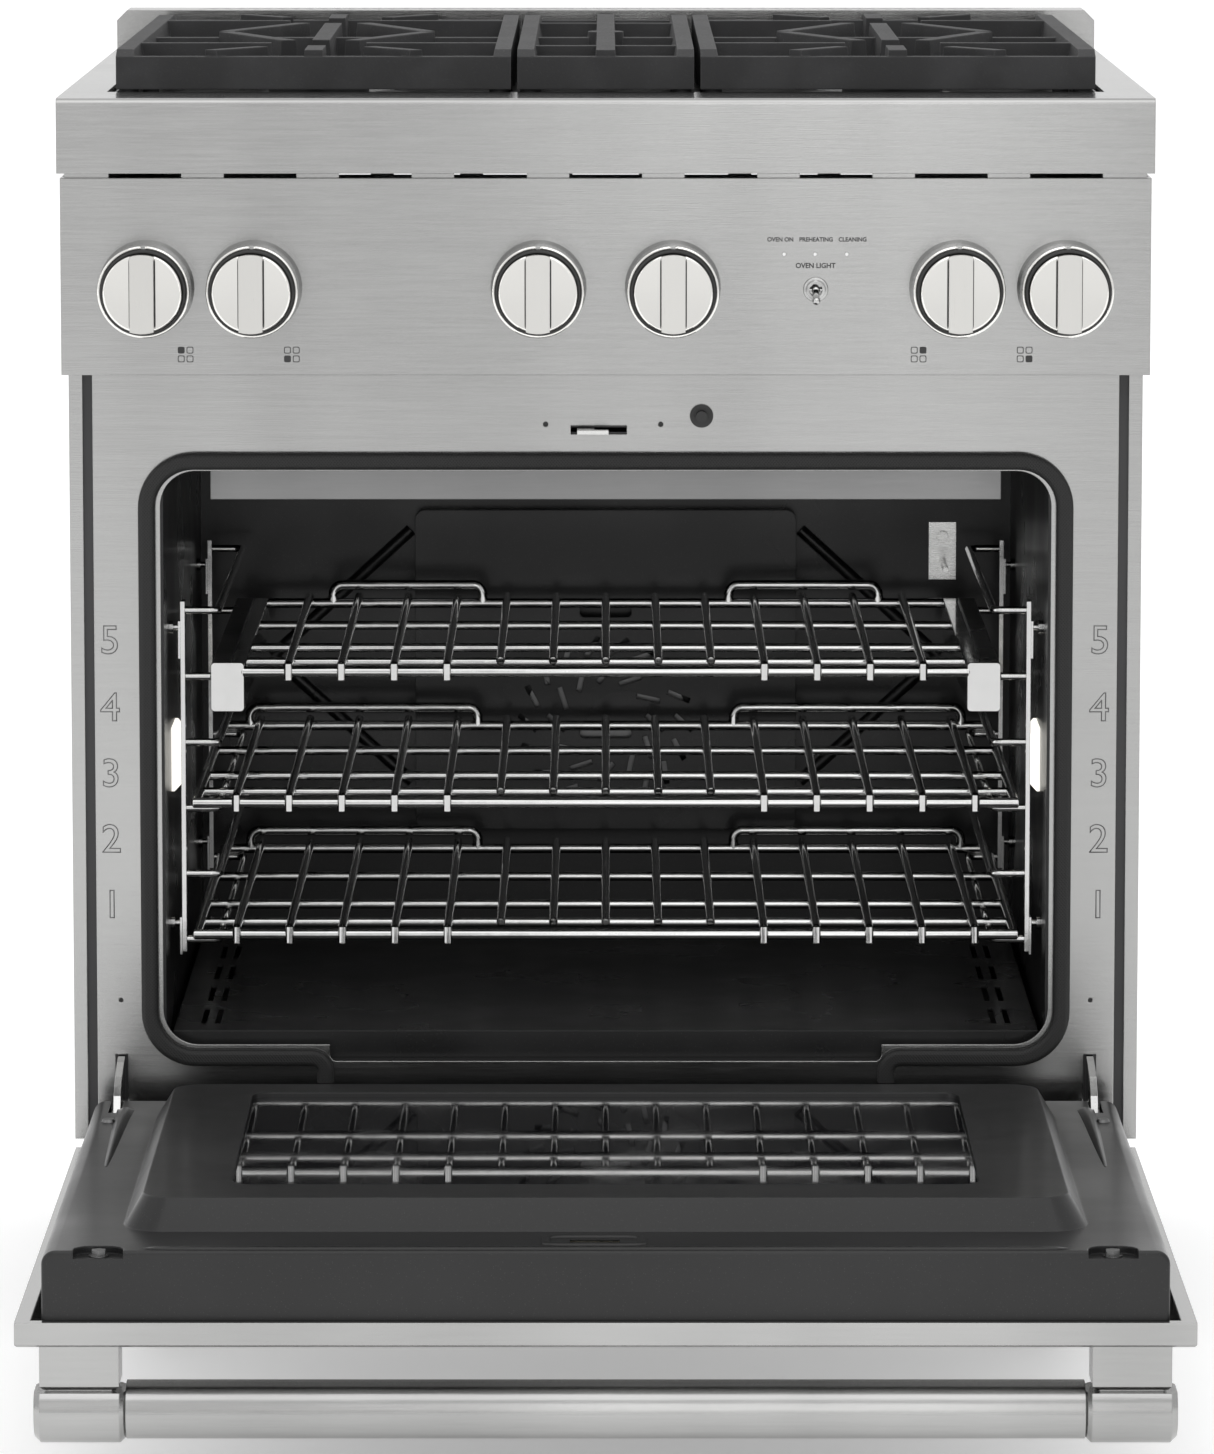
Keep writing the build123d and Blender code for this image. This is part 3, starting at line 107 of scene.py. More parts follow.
class RangeColours(bpy.types.PropertyGroup):
    """Colours of the main finishes."""

    stainless: colour_value("Stainless", "Brushed stainless steel", (0.40, 0.40, 0.395))
    enamel: colour_value("Enamel", "Dark oven enamel", (0.011, 0.011, 0.0112))
    enamel_fleck: colour_value("Enamel fleck", "Light flecks in the enamel", (0.085, 0.085, 0.083))
    cast_iron: colour_value("Cast iron", "Enamelled cast iron grates", (0.024, 0.024, 0.025))
    printing: colour_value("Printing", "Ink of the words and icons", (0.03, 0.03, 0.03))
    floor: colour_value("Floor", "Plain pale floor", (0.93, 0.93, 0.93))


class RangeLight(bpy.types.PropertyGroup):
    """Strength of the stage's lights."""

    sky: light_value("Sky", "Strength of the surrounding light", 0.92)
    key: light_value("Key", "Power of the large soft light above", 20.0, unit="POWER")
    strip: light_value("Strip", "Power of the tall soft light in front", 11.0, unit="POWER")
    oven: light_value("Oven lamps", "Glow of the oven lamp lenses", 1.3)


# ------------------------------------------------------------ node helpers
def add_node(tree, kind, inputs=None, **settings):
    """One node with its settings; an input given as a socket is linked, any other value is set."""
    node = tree.nodes.new(kind)
    for key, value in settings.items():
        setattr(node, key, value)
    for key, value in (inputs or {}).items():
        if isinstance(value, bpy.types.NodeSocket):
            tree.links.new(value, node.inputs[key])
        else:
            node.inputs[key].default_value = value
    return node


def maths(tree, operation, a, b=0.0):
    return add_node(tree, "ShaderNodeMath", {0: a, 1: b}, operation=operation).outputs[0]


def stretched(tree, vector, factors):
    """A vector multiplied by factors, axis by axis."""
    return add_node(tree, "ShaderNodeVectorMath", {0: vector, 1: factors}, operation="MULTIPLY").outputs[0]


def noise(tree, vector, scale, detail, **more):
    inputs = {"Vector": vector, "Scale": scale, "Detail": detail, **more}
    return add_node(tree, "ShaderNodeTexNoise", inputs).outputs[0]


def toned(colour, factor):
    """A colour made lighter or darker by a factor."""
    return [min(1, c * factor) for c in colour]


def blend_colour(tree, factor, a, b):
    node = add_node(tree, "ShaderNodeMix", {0: factor}, data_type="RGBA")
    for socket, value in ((node.inputs[6], a), (node.inputs[7], b)):
        if isinstance(value, bpy.types.NodeSocket):
            tree.links.new(value, socket)
        else:
            socket.default_value = (*value[:3], 1.0)
    return node.outputs[2]


def ramp(tree, value, low, high, to_low=0.0, to_high=1.0):
    """Value between low and high, spread smoothly over to_low to to_high."""
    return add_node(tree, "ShaderNodeMapRange", {0: value, 1: low, 2: high, 3: to_low, 4: to_high},
                    interpolation_type="SMOOTHSTEP").outputs[0]


def new_group(name, inputs, outputs):
    group = bpy.data.node_groups.new(name, "ShaderNodeTree")
    for label, kind, value in inputs:
        socket = group.interface.new_socket(label, in_out="INPUT", socket_type=kind)
        if value is not None:
            socket.default_value = value
    for label, kind in outputs:
        group.interface.new_socket(label, in_out="OUTPUT", socket_type=kind)
    return group, group.nodes.new("NodeGroupInput"), group.nodes.new("NodeGroupOutput")


def finish_group(group, out, **values):
    for label, socket in values.items():
        group.links.new(socket, out.inputs[label.replace("_", " ")])
    return group


FLOAT, VECTOR = "NodeSocketFloat", "NodeSocketVector"


def grain_group():
    """Brushed grain: noise drawn out along X by Length and squeezed across by Width, at two scales.

    The third output is a slow noise that changes along the grain only: painted upright bands of sheen, standing in
    for the reflections that a brushed sheet spreads across its grain."""
    group, given, out = new_group(
        "Brushed Grain", [("Vector", VECTOR, None), ("Length", FLOAT, 0.05), ("Width", FLOAT, 0.0005)],
        [("Height", FLOAT), ("Shade", FLOAT), ("Band", FLOAT)])
    place = given.outputs["Vector"]
    along = maths(group, "DIVIDE", 1.0, given.outputs["Length"])
    across = maths(group, "DIVIDE", 1.0, given.outputs["Width"])
    factors = add_node(group, "ShaderNodeCombineXYZ", {0: along, 1: across, 2: across}).outputs[0]
    fine = stretched(group, place, factors)
    hair = noise(group, fine, 1.0, 2.0, Roughness=0.65)
    streak = noise(group, stretched(group, fine, (0.35, 0.22, 0.22)), 1.0, 3.0, Roughness=0.6)
    painted_sheen = noise(group, stretched(group, place, (7.0, 0.4, 0.5)), 1.0, 1.5)
    height = maths(group, "ADD", maths(group, "MULTIPLY", hair, 0.6), maths(group, "MULTIPLY", streak, 0.4))
    shade = maths(group, "ADD", maths(group, "MULTIPLY", streak, 0.6), maths(group, "MULTIPLY", hair, 0.4))
    return finish_group(group, out, Height=height, Shade=shade, Band=painted_sheen)


def fleck_group():
    """Enamel: small round flecks where a cell's centre is near, and a soft rippled height."""
    group, given, out = new_group(
        "Enamel Fleck", [("Vector", VECTOR, None), ("Scale", FLOAT, 700.0), ("Size", FLOAT, 0.24)],
        [("Mask", FLOAT), ("Height", FLOAT), ("Cloud", FLOAT)])
    place = given.outputs["Vector"]
    cell = add_node(group, "ShaderNodeTexVoronoi", {"Vector": place, "Scale": given.outputs["Scale"]})
    near = ramp(group, cell.outputs["Distance"], given.outputs["Size"], 0.0)
    tint = add_node(group, "ShaderNodeSeparateColor", {0: cell.outputs["Color"]}).outputs[0]
    pick = ramp(group, tint, 0.55, 0.75)
    ripple, cloud = noise(group, place, 420.0, 2.0), noise(group, place, 9.0, 3.0)
    return finish_group(group, out, Mask=maths(group, "MULTIPLY", near, pick), Height=ripple, Cloud=cloud)


def cast_group():
    """Sand-cast skin: fine noise with a few pits, and a slow change of tone."""
    group, given, out = new_group("Cast Skin", [("Vector", VECTOR, None), ("Scale", FLOAT, 900.0)],
                                  [("Height", FLOAT), ("Tone", FLOAT)])
    place = given.outputs["Vector"]
    sand = noise(group, place, given.outputs["Scale"], 4.0, Roughness=0.7)
    pit = add_node(group, "ShaderNodeTexVoronoi", {"Vector": place, "Scale": 260.0}).outputs["Distance"]
    tone = noise(group, place, 24.0, 3.0)
    height = maths(group, "ADD", sand, maths(group, "MULTIPLY", ramp(group, pit, 0.0, 0.35), 0.4))
    return finish_group(group, out, Height=height, Tone=tone)


def edge_group():
    """Soft edge: the surface direction rounded over Radius, and a mask that is 1 on the rounded edge."""
    group, given, out = new_group("Soft Edge", [("Radius", FLOAT, 0.001)], [("Normal", VECTOR), ("Mask", FLOAT)])
    soft = add_node(group, "ShaderNodeBevel", {"Radius": given.outputs["Radius"]}, samples=4).outputs[0]
    flat = add_node(group, "ShaderNodeNewGeometry").outputs["Normal"]
    match = add_node(group, "ShaderNodeVectorMath", {0: soft, 1: flat}, operation="DOT_PRODUCT").outputs["Value"]
    return finish_group(group, out, Normal=soft, Mask=ramp(group, match, 0.985, 0.86))


def wipe_group():
    """Wiping marks: slow swirled noise that changes how rough a surface is."""
    group, given, out = new_group(
        "Wipe Marks", [("Vector", VECTOR, None), ("Scale", FLOAT, 6.0)], [("Amount", FLOAT)])
    swirl = noise(group, given.outputs["Vector"], given.outputs["Scale"], 4.0, Distortion=1.2)
    return finish_group(group, out, Amount=ramp(group, swirl, 0.35, 0.7))


class Finish:
    """A material with a Principled shader, its object coordinates and the shared groups at hand."""

    groups = {}

    def __init__(self, name, **constants):
        self.material = bpy.data.materials.new(name)
        self.material.use_nodes = True
        self.tree = self.material.node_tree
        self.shader = self.tree.nodes["Principled BSDF"]
        for key, value in constants.items():
            socket = self.shader.inputs[key.replace("_", " ")]
            socket.default_value = (*value, 1.0) if isinstance(value, tuple) else value
        self.place = add_node(self.tree, "ShaderNodeTexCoord").outputs["Object"]

    def turned(self, angles):
        """Object coordinates turned, so that a grain runs along another axis."""
        return add_node(self.tree, "ShaderNodeMapping", {"Vector": self.place, "Rotation": angles}).outputs[0]

    def effect(self, maker, **inputs):
        if maker not in Finish.groups:
            Finish.groups[maker] = maker()
        node = self.tree.nodes.new("ShaderNodeGroup")
        node.node_tree = Finish.groups[maker]
        for key, value in inputs.items():
            if isinstance(value, bpy.types.NodeSocket):
                self.tree.links.new(value, node.inputs[key])
            else:
                node.inputs[key].default_value = value
        return node.outputs

    def feed(self, **sockets):
        for key, value in sockets.items():
            self.tree.links.new(value, self.shader.inputs[key.replace("_", " ")])

    def bump(self, height, strength, distance, normal=None):
        inputs = {"Height": height, "Strength": strength, "Distance": distance}
        if normal is not None:
            inputs["Normal"] = normal
        self.feed(Normal=add_node(self.tree, "ShaderNodeBump", inputs).outputs[0])


# ------------------------------------------------------------- finishes
def brushed(name, colour, rough=(0.15, 0.22), turn=(0, 0, 0), strength=0.22, length=0.024, edge=0.0009):
    """Brushed sheet: long grain along X, a little tone change from streak to streak, painted upright bands of sheen
    and soft folded edges.
    """
    steel = Finish(name, Metallic=1.0)
    grain = steel.effect(grain_group, Vector=steel.turned(turn), Length=length, Width=0.00045)
    wipe = steel.effect(wipe_group, Vector=steel.place, Scale=5.0)
    soft = steel.effect(edge_group, Radius=edge)
    # The colour mixes the streaks' own tone with the painted sheen: slow upright bands, lighter and darker, in place
    # of reflections.
    tone = maths(steel.tree, "ADD", ramp(steel.tree, grain["Shade"], 0.28, 0.72, 0.0, 0.34),
                 ramp(steel.tree, grain["Band"], 0.32, 0.68, 0.0, 0.58))
    steel.feed(Base_Color=blend_colour(steel.tree, tone, toned(colour, 0.86), toned(colour, 1.10)))
    rough_now = maths(steel.tree, "ADD", ramp(steel.tree, grain["Height"], 0.3, 0.7, rough[0], rough[1]),
                      maths(steel.tree, "MULTIPLY", wipe["Amount"], 0.03))
    steel.feed(Roughness=rough_now)
    steel.bump(grain["Height"], strength, 0.00018, soft["Normal"])
    return steel.material


def enamelled(name, colour, fleck, rough=0.30, edge=0.0012):
    """Fired enamel: dark glassy coat with small pale flecks, thinner and paler over the folds."""
    coat = Finish(name, Coat_Weight=0.15, Coat_Roughness=0.15, Specular_IOR_Level=0.3)
    dots = coat.effect(fleck_group, Vector=coat.place)
    soft = coat.effect(edge_group, Radius=edge)
    cloud = ramp(coat.tree, dots["Cloud"], 0.35, 0.7)
    ground = blend_colour(coat.tree, cloud, toned(colour, 0.85), toned(colour, 1.2))
    spotted = blend_colour(coat.tree, maths(coat.tree, "MULTIPLY", dots["Mask"], 0.8), ground, fleck)
    fold = maths(coat.tree, "MULTIPLY", soft["Mask"], 0.35)
    coat.feed(Base_Color=blend_colour(coat.tree, fold, spotted, toned(colour, 2.4)))
    coat.feed(Roughness=ramp(coat.tree, dots["Cloud"], 0.3, 0.7, rough - 0.05, rough + 0.07))
    coat.bump(dots["Height"], 0.25, 0.0002, soft["Normal"])
    return coat.material


def cast(name, colour, worn, rough=0.55, edge=0.0014):
    """Cast iron: sandy skin, with the enamel paler where the edges are thin."""
    iron = Finish(name, Specular_IOR_Level=0.38)
    skin = iron.effect(cast_group, Vector=iron.place)
    soft = iron.effect(edge_group, Radius=edge)
    tone = ramp(iron.tree, skin["Tone"], 0.35, 0.7)
    body = blend_colour(iron.tree, tone, toned(colour, 0.8), toned(colour, 1.25))
    iron.feed(Base_Color=blend_colour(iron.tree, maths(iron.tree, "MULTIPLY", soft["Mask"], 0.55), body, worn))
    iron.feed(Roughness=ramp(iron.tree, skin["Height"], 0.4, 1.0, rough - 0.1, rough + 0.1))
    iron.bump(skin["Height"], 0.35, 0.0004, soft["Normal"])
    return iron.material


def polished(name, colour, rough=0.08, edge=0.0005, scale=60.0):
    """Plated or polished metal, with faint drawing marks and a slow change of gloss."""
    metal = Finish(name, Metallic=1.0)
    wipe = metal.effect(wipe_group, Vector=metal.place, Scale=scale)
    skin = metal.effect(cast_group, Vector=metal.place, Scale=300.0)
    soft = metal.effect(edge_group, Radius=edge)
    metal.feed(Base_Color=blend_colour(metal.tree, wipe["Amount"], toned(colour, 0.94), colour))
    metal.feed(Roughness=ramp(metal.tree, wipe["Amount"], 0.0, 1.0, rough * 0.7, rough * 1.5))
    metal.bump(skin["Height"], 0.03, 0.0002, soft["Normal"])
    return metal.material


def knob_metal(name, colour):
    """Knob: a polished dial, with the grip that stands in front of it satin and a shade darker."""
    metal = Finish(name, Metallic=1.0)
    grain = metal.effect(grain_group, Vector=metal.turned((0, math.radians(90), 0)), Length=0.02, Width=0.0003)
    soft = metal.effect(edge_group, Radius=0.0007)
    depth = add_node(metal.tree, "ShaderNodeSeparateXYZ", {0: metal.place}).outputs[1]
    grip = ramp(metal.tree, depth, GRIP_Y + 0.0065, GRIP_Y + 0.0030)
    worn = ramp(metal.tree, grain["Shade"], 0.3, 0.7, 0.9, 1.0)
    satin = blend_colour(metal.tree, worn, toned(colour, 0.60), toned(colour, 0.70))
    metal.feed(Base_Color=blend_colour(metal.tree, grip, colour, satin))
    metal.feed(Roughness=maths(metal.tree, "ADD", ramp(metal.tree, grip, 0.0, 1.0, 0.035, 0.26),
                               maths(metal.tree, "MULTIPLY", grain["Height"], 0.04)))
    metal.bump(grain["Height"], 0.05, 0.0001, soft["Normal"])
    return metal.material


def moulded(name, colour, rough=0.5, **constants):
    """Moulded plastic or rubber with a fine sparked texture."""
    plastic = Finish(name, **constants)
    skin = plastic.effect(cast_group, Vector=plastic.place, Scale=1500.0)
    plastic.feed(Base_Color=blend_colour(plastic.tree, skin["Tone"], toned(colour, 0.8), toned(colour, 1.25)))
    plastic.feed(Roughness=ramp(plastic.tree, skin["Tone"], 0.3, 0.7, rough - 0.06, rough + 0.08))
    plastic.bump(skin["Height"], 0.2, 0.0002)
    return plastic.material


def braided(name, colour):
    """Woven fibre gasket: two crossing sets of diagonal ribs."""
    weave = Finish(name, Specular_IOR_Level=0.4)
    ribs = []
    for angle in (0.7, -0.7):
        turned = weave.turned((0.0, angle, 0.0))
        ribs.append(add_node(weave.tree, "ShaderNodeTexWave", {"Vector": turned, "Scale": 190.0, "Distortion": 1.0},
                             bands_direction="X").outputs["Fac"])
    height = maths(weave.tree, "MAXIMUM", ribs[0], ribs[1])
    weave.feed(Base_Color=blend_colour(weave.tree, height, toned(colour, 0.6), toned(colour, 1.3)))
    weave.feed(Roughness=ramp(weave.tree, height, 0.0, 1.0, 0.72, 0.55))
    weave.bump(height, 0.5, 0.0005)
    return weave.material


def woolly(name, colour):
    """Mineral fibre blanket: matted fibres in two directions."""
    wool = Finish(name, Sheen_Weight=0.2)
    fibres = []
    for stretch in ((220.0, 900.0, 900.0), (900.0, 220.0, 900.0)):
        lines = add_node(wool.tree, "ShaderNodeMapping", {"Vector": wool.place, "Scale": stretch}).outputs[0]
        fibres.append(noise(wool.tree, lines, 1.0, 4.0, Distortion=1.5))
    mat = maths(wool.tree, "MAXIMUM", fibres[0], fibres[1])
    wool.feed(Base_Color=blend_colour(wool.tree, ramp(wool.tree, mat, 0.4, 0.75), toned(colour, 0.6), colour))
    wool.feed(Roughness=ramp(wool.tree, mat, 0.3, 0.8, 0.95, 0.8))
    wool.bump(mat, 0.8, 0.001)
    return wool.material


def dark_glass(name):
    """Dark coated oven glass: near black, very smooth, with faint wiping haze."""
    glass = Finish(name, IOR=1.52, Coat_Weight=1.0, Coat_Roughness=0.02)
    wipe = glass.effect(wipe_group, Vector=glass.place, Scale=9.0)
    glass.feed(Base_Color=blend_colour(glass.tree, wipe["Amount"], (0.006, 0.006, 0.007), (0.010, 0.010, 0.011)))
    glass.feed(Roughness=ramp(glass.tree, wipe["Amount"], 0.0, 1.0, 0.03, 0.07))
    return glass.material


def lamp_glass(name, glow):
    """Frosted lamp lens with a pressed pattern, lit from behind."""
    lens = Finish(name, Emission_Strength=glow, IOR=1.5)
    cells = add_node(lens.tree, "ShaderNodeTexVoronoi", {"Vector": lens.place, "Scale": 150.0}).outputs["Distance"]
    lens.feed(Base_Color=blend_colour(lens.tree, cells, (0.82, 0.81, 0.78), (0.92, 0.91, 0.88)))
    lens.feed(Emission_Color=blend_colour(lens.tree, cells, (1.0, 0.97, 0.90), (0.8, 0.77, 0.70)))
    lens.feed(Roughness=ramp(lens.tree, cells, 0.0, 0.6, 0.18, 0.35))
    lens.bump(cells, 0.4, 0.0005)
    return lens.material


def galvanised(name, colour):
    """Zinc coated sheet: large flat crystals, each a little different in tone and gloss."""
    zinc = Finish(name, Metallic=1.0)
    crystal = add_node(zinc.tree, "ShaderNodeTexVoronoi", {"Vector": zinc.place, "Scale": 150.0})
    pick = add_node(zinc.tree, "ShaderNodeSeparateColor", {0: crystal.outputs["Color"]}).outputs[0]
    soft = zinc.effect(edge_group, Radius=0.0008)
    zinc.feed(Base_Color=blend_colour(zinc.tree, pick, toned(colour, 0.94), toned(colour, 1.05)))
    zinc.feed(Roughness=ramp(zinc.tree, pick, 0.0, 1.0, 0.34, 0.44))
    zinc.bump(pick, 0.06, 0.0002, soft["Normal"])
    return zinc.material


def make_finishes(colours, light):
    """Every finish by the name of its material slot."""
    chosen = (colours.stainless, colours.enamel, colours.enamel_fleck, colours.cast_iron)
    steel, enamel, fleck, iron = (tuple(colour) for colour in chosen)
    return {
        "stainless": brushed("stainless", steel),
        "skirt_steel": brushed("skirt_steel", (0.27, 0.27, 0.27), rough=(0.34, 0.44), strength=0.2, length=0.02),
        "bright_steel": brushed("bright_steel", (0.68, 0.68, 0.67), rough=(0.2, 0.3), strength=0.2,
                                length=0.012, edge=0.0004),
        "dark_chassis": moulded("dark_chassis", (0.03, 0.03, 0.031), rough=0.45),
        "enamel": enamelled("enamel", enamel, fleck),
        "liner_enamel": enamelled("liner_enamel", tuple(c * 1.25 for c in enamel), fleck, rough=0.34, edge=0.0018),
        "cast_iron": cast("cast_iron", iron, (0.085, 0.085, 0.085)),
        "cap_enamel": cast("cap_enamel", (0.022, 0.022, 0.022), (0.06, 0.06, 0.06), rough=0.42),
        "chrome": polished("chrome", (0.56, 0.56, 0.555), rough=0.10),
        "knob_metal": knob_metal("knob_metal", (0.86, 0.85, 0.82)),
        "burner_alloy": cast("burner_alloy", (0.42, 0.42, 0.42), (0.6, 0.6, 0.6), rough=0.4),
        "dark_glass": dark_glass("dark_glass"),
        "lamp_glass": lamp_glass("lamp_glass", light.oven),
        "wool": woolly("wool", (0.70, 0.67, 0.58)),
        "gasket": braided("gasket", (0.012, 0.012, 0.012)),
        "black_plastic": moulded("black_plastic", (0.02, 0.02, 0.02), rough=0.42),
        "led": moulded("led", (0.80, 0.80, 0.80), rough=0.25, Coat_Weight=0.5),
        "galvanised": galvanised("galvanised", (0.52, 0.53, 0.54)),
        "dark_steel": brushed("dark_steel", (0.16, 0.16, 0.16), rough=(0.28, 0.38), strength=0.15,
                              length=0.01, edge=0.0003),
        "printing": moulded("printing", tuple(colours.printing), rough=0.5),
    }


FINISHES = {}


def finish_named(name):
    """A finish by name, made the first time that any is asked for."""
    if not FINISHES:
        scene = bpy.context.scene
        FINISHES.update(make_finishes(scene.range_colours, scene.range_light))
    return FINISHES[name]


# ------------------------------------------------------------- surfaces
def surface_mesh(name, grids, wrap_rows=False):
    """One mesh from grids of points (rows along, columns round, closed round the columns).

    Each cell of a grid is a quad between neighbouring rows and columns. The columns close on themselves,
    the rows do if wrap_rows is set, and otherwise each end row is closed by a fan about its mean point."""
    points, faces, base = [], [], 0
    for grid in grids:
        rows, cols = grid.shape[:2]
        index = np.arange(rows * cols).reshape(rows, cols) + base
        ahead = np.roll(index, -1, axis=1)
        low, high = (index, np.roll(index, -1, axis=0)) if wrap_rows else (index[:-1], index[1:])
        low_ahead, high_ahead = (ahead, np.roll(ahead, -1, axis=0)) if wrap_rows else (ahead[:-1], ahead[1:])
        faces.append(np.stack([low, low_ahead, high_ahead, high], axis=-1).reshape(-1, 4))
        points.append(grid.reshape(-1, 3))
        base += rows * cols
        if not wrap_rows:
            points.append(np.stack([grid[0].mean(0), grid[-1].mean(0)]))
            for centre, ring, step in ((base, index[0], -1), (base + 1, index[-1], 1)):
                ring = ring[::step]
                faces.append(np.stack([np.full(cols, centre), ring, np.roll(ring, -1), np.full(cols, -1)], axis=-1))
            base += 2
    return mesh_of(name, np.concatenate(points), np.concatenate(faces))


def mesh_of(name, points, faces):
    """Mesh from points and faces of four; a last corner of -1 means a triangle."""
    mesh = bpy.data.meshes.new(name)
    sizes = np.where(faces[:, 3] < 0, 3, 4)
    loops = faces.reshape(-1)
    loops = loops[loops >= 0]
    mesh.vertices.add(len(points))
    mesh.vertices.foreach_set("co", np.asarray(points, np.float32).reshape(-1))
    mesh.loops.add(len(loops))
    mesh.loops.foreach_set("vertex_index", loops.astype(np.int32))
    mesh.polygons.add(len(faces))
    mesh.polygons.foreach_set("loop_start", np.concatenate([[0], np.cumsum(sizes)[:-1]]).astype(np.int32))
    mesh.polygons.foreach_set("use_smooth", np.ones(len(faces), bool))
    mesh.update(calc_edges=True)
    mesh.validate()
    return mesh


def add_piece(name, mesh, finish, body):
    """A finished piece at the origin, closed, facing outward, riding on a body and wearing a finish."""
    work = bmesh.new()
    work.from_mesh(mesh)
    bmesh.ops.remove_doubles(work, verts=work.verts, dist=1e-7)
    bmesh.ops.recalc_face_normals(work, faces=work.faces)
    work.to_mesh(mesh)
    work.free()
    piece = bpy.data.objects.new(name, mesh)
    bpy.context.scene.collection.objects.link(piece)
    mesh.materials.append(finish_named(finish))
    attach(piece, body)
    return piece


def lathe(centre, axis, profile, sides=20):
    """Points of a turned shape: each (radius, height) of the profile swept round the axis through centre."""
    axis = np.asarray(axis, float)
    side = np.cross(axis, (0.3, 0.5, 0.81))
    side /= np.linalg.norm(side)
    other = np.cross(axis, side)
    angle = full_turn(sides)
    round_about = np.cos(angle)[:, None] * side + np.sin(angle)[:, None] * other
    profile = np.asarray(profile, float)
    return np.asarray(centre) + profile[:, 0, None, None] * round_about[None] + profile[:, 1, None, None] * axis


def text_points(words, height, line=0.0, depth=0.0, bold=0.0):
    """Points and faces of upright lettering about (0, 0): a filled plate, or its outline as a round line."""
    capital = 0.73          # height of a capital as a share of the font's size
    curve = bpy.data.curves.new("lettering", "FONT")
    curve.body, curve.size, curve.align_x, curve.align_y = words, height / capital, "CENTER", "CENTER"
    curve.resolution_u = 4
    curve.offset = bold
    if line:
        curve.fill_mode, curve.bevel_depth, curve.bevel_resolution = "NONE", line, 2
    else:
        curve.extrude = depth
    holder = bpy.data.objects.new("lettering", curve)
    bpy.context.scene.collection.objects.link(holder)
    bpy.context.view_layer.update()
    mesh = bpy.data.meshes.new_from_object(holder.evaluated_get(bpy.context.evaluated_depsgraph_get()))
    points = np.zeros(len(mesh.vertices) * 3, np.float32)
    mesh.vertices.foreach_get("co", points)
    starts, sizes = np.zeros(len(mesh.polygons), np.int32), np.zeros(len(mesh.polygons), np.int32)
    mesh.polygons.foreach_get("loop_start", starts)
    mesh.polygons.foreach_get("loop_total", sizes)
    loops = np.zeros(len(mesh.loops), np.int32)
    mesh.loops.foreach_get("vertex_index", loops)
    faces = np.full((len(sizes), 4), -1)
    faces[:, :3] = loops[starts[:, None] + np.arange(3)]
    quads = sizes == 4
    faces[quads, 3] = loops[starts[quads] + 3]
    bpy.data.objects.remove(holder)
    bpy.data.curves.remove(curve)
    bpy.data.meshes.remove(mesh)
    return points.reshape(-1, 3), faces


def stand_up(points, x, y, z):
    """Lettering drawn in its own plane, stood upright to face the front at (x, y, z)."""
    return np.stack([x + points[:, 0], y - points[:, 2], z + points[:, 1]], axis=-1)


def lettering_mesh(name, items):
    """One mesh from several placed letterings, each given as (points, faces)."""
    points, faces, base = [], [], 0
    for placed, corners in items:
        points.append(placed)
        faces.append(np.where(corners < 0, -1, corners + base))
        base += len(placed)
    mesh = mesh_of(name, np.concatenate(points), np.concatenate(faces))
    mesh.polygons.foreach_set("use_smooth", np.zeros(len(mesh.polygons), bool))
    return mesh


def full_turn(count):
    return np.linspace(0, 2 * math.pi, count, endpoint=False)


def superellipse(turn, power, half=1.0):
    """Reach of a superellipse at each angle of turn; a higher power has squarer corners."""
    return half / (np.abs(np.cos(turn)) ** power + np.abs(np.sin(turn)) ** power) ** (1 / power)


def rounded_square(half):
    """Outline of a square with rounded corners."""
    turn = full_turn(32)
    reach = superellipse(turn, 5.0, half)
    return np.stack([reach * np.cos(turn), reach * np.sin(turn)], axis=-1)


def end_fade(run, power):
    """1 along a run from -1 to 1, drawn in to 0 at both ends; a higher power does so later."""
    return np.sqrt(np.clip(1 - np.abs(run) ** power, 0, 1))


def knob_place(knob):
    """A knob's middle in X and Z, its radius and the front plane of its grip."""
    low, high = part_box(knob)
    return (low.x + high.x) / 2, (low.z + high.z) / 2, (high.x - low.x) / 2, low.y


# ------------------------------------------------------------ operators
class GASRANGE_OT_finishes(bpy.types.Operator):
    """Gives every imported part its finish."""

    bl_idname = "gasrange.finishes"
    bl_label = "Finish The Metalwork"

    def execute(self, context):
        for name, node in frame["nodes"].items():
            for holder in node.material_slots:
                # The fan blade's dark steel is painted shade, where it sits in shadow behind the baffle.
                holder.material = finish_named(DARKER_AND_PAINTED_SHADE.get(name, holder.material.name.split(".")[0]))
        return {"FINISHED"}


class GASRANGE_OT_rack_plating(bpy.types.Operator):
    """Grows the rack wires by the thickness of their plating: every corner moves out along its own normal."""

    bl_idname = "gasrange.rack_plating"
    bl_label = "Plate The Racks"

    def execute(self, context):
        for name in ("rack_top", "rack_middle", "rack_bottom"):
            grow = frame["nodes"][name].modifiers.new("plating", "DISPLACE")
            grow.direction, grow.mid_level = "CUSTOM_NORMAL", 0.0
            grow.strength = context.scene.range_sizes.wire_growth
        return {"FINISHED"}


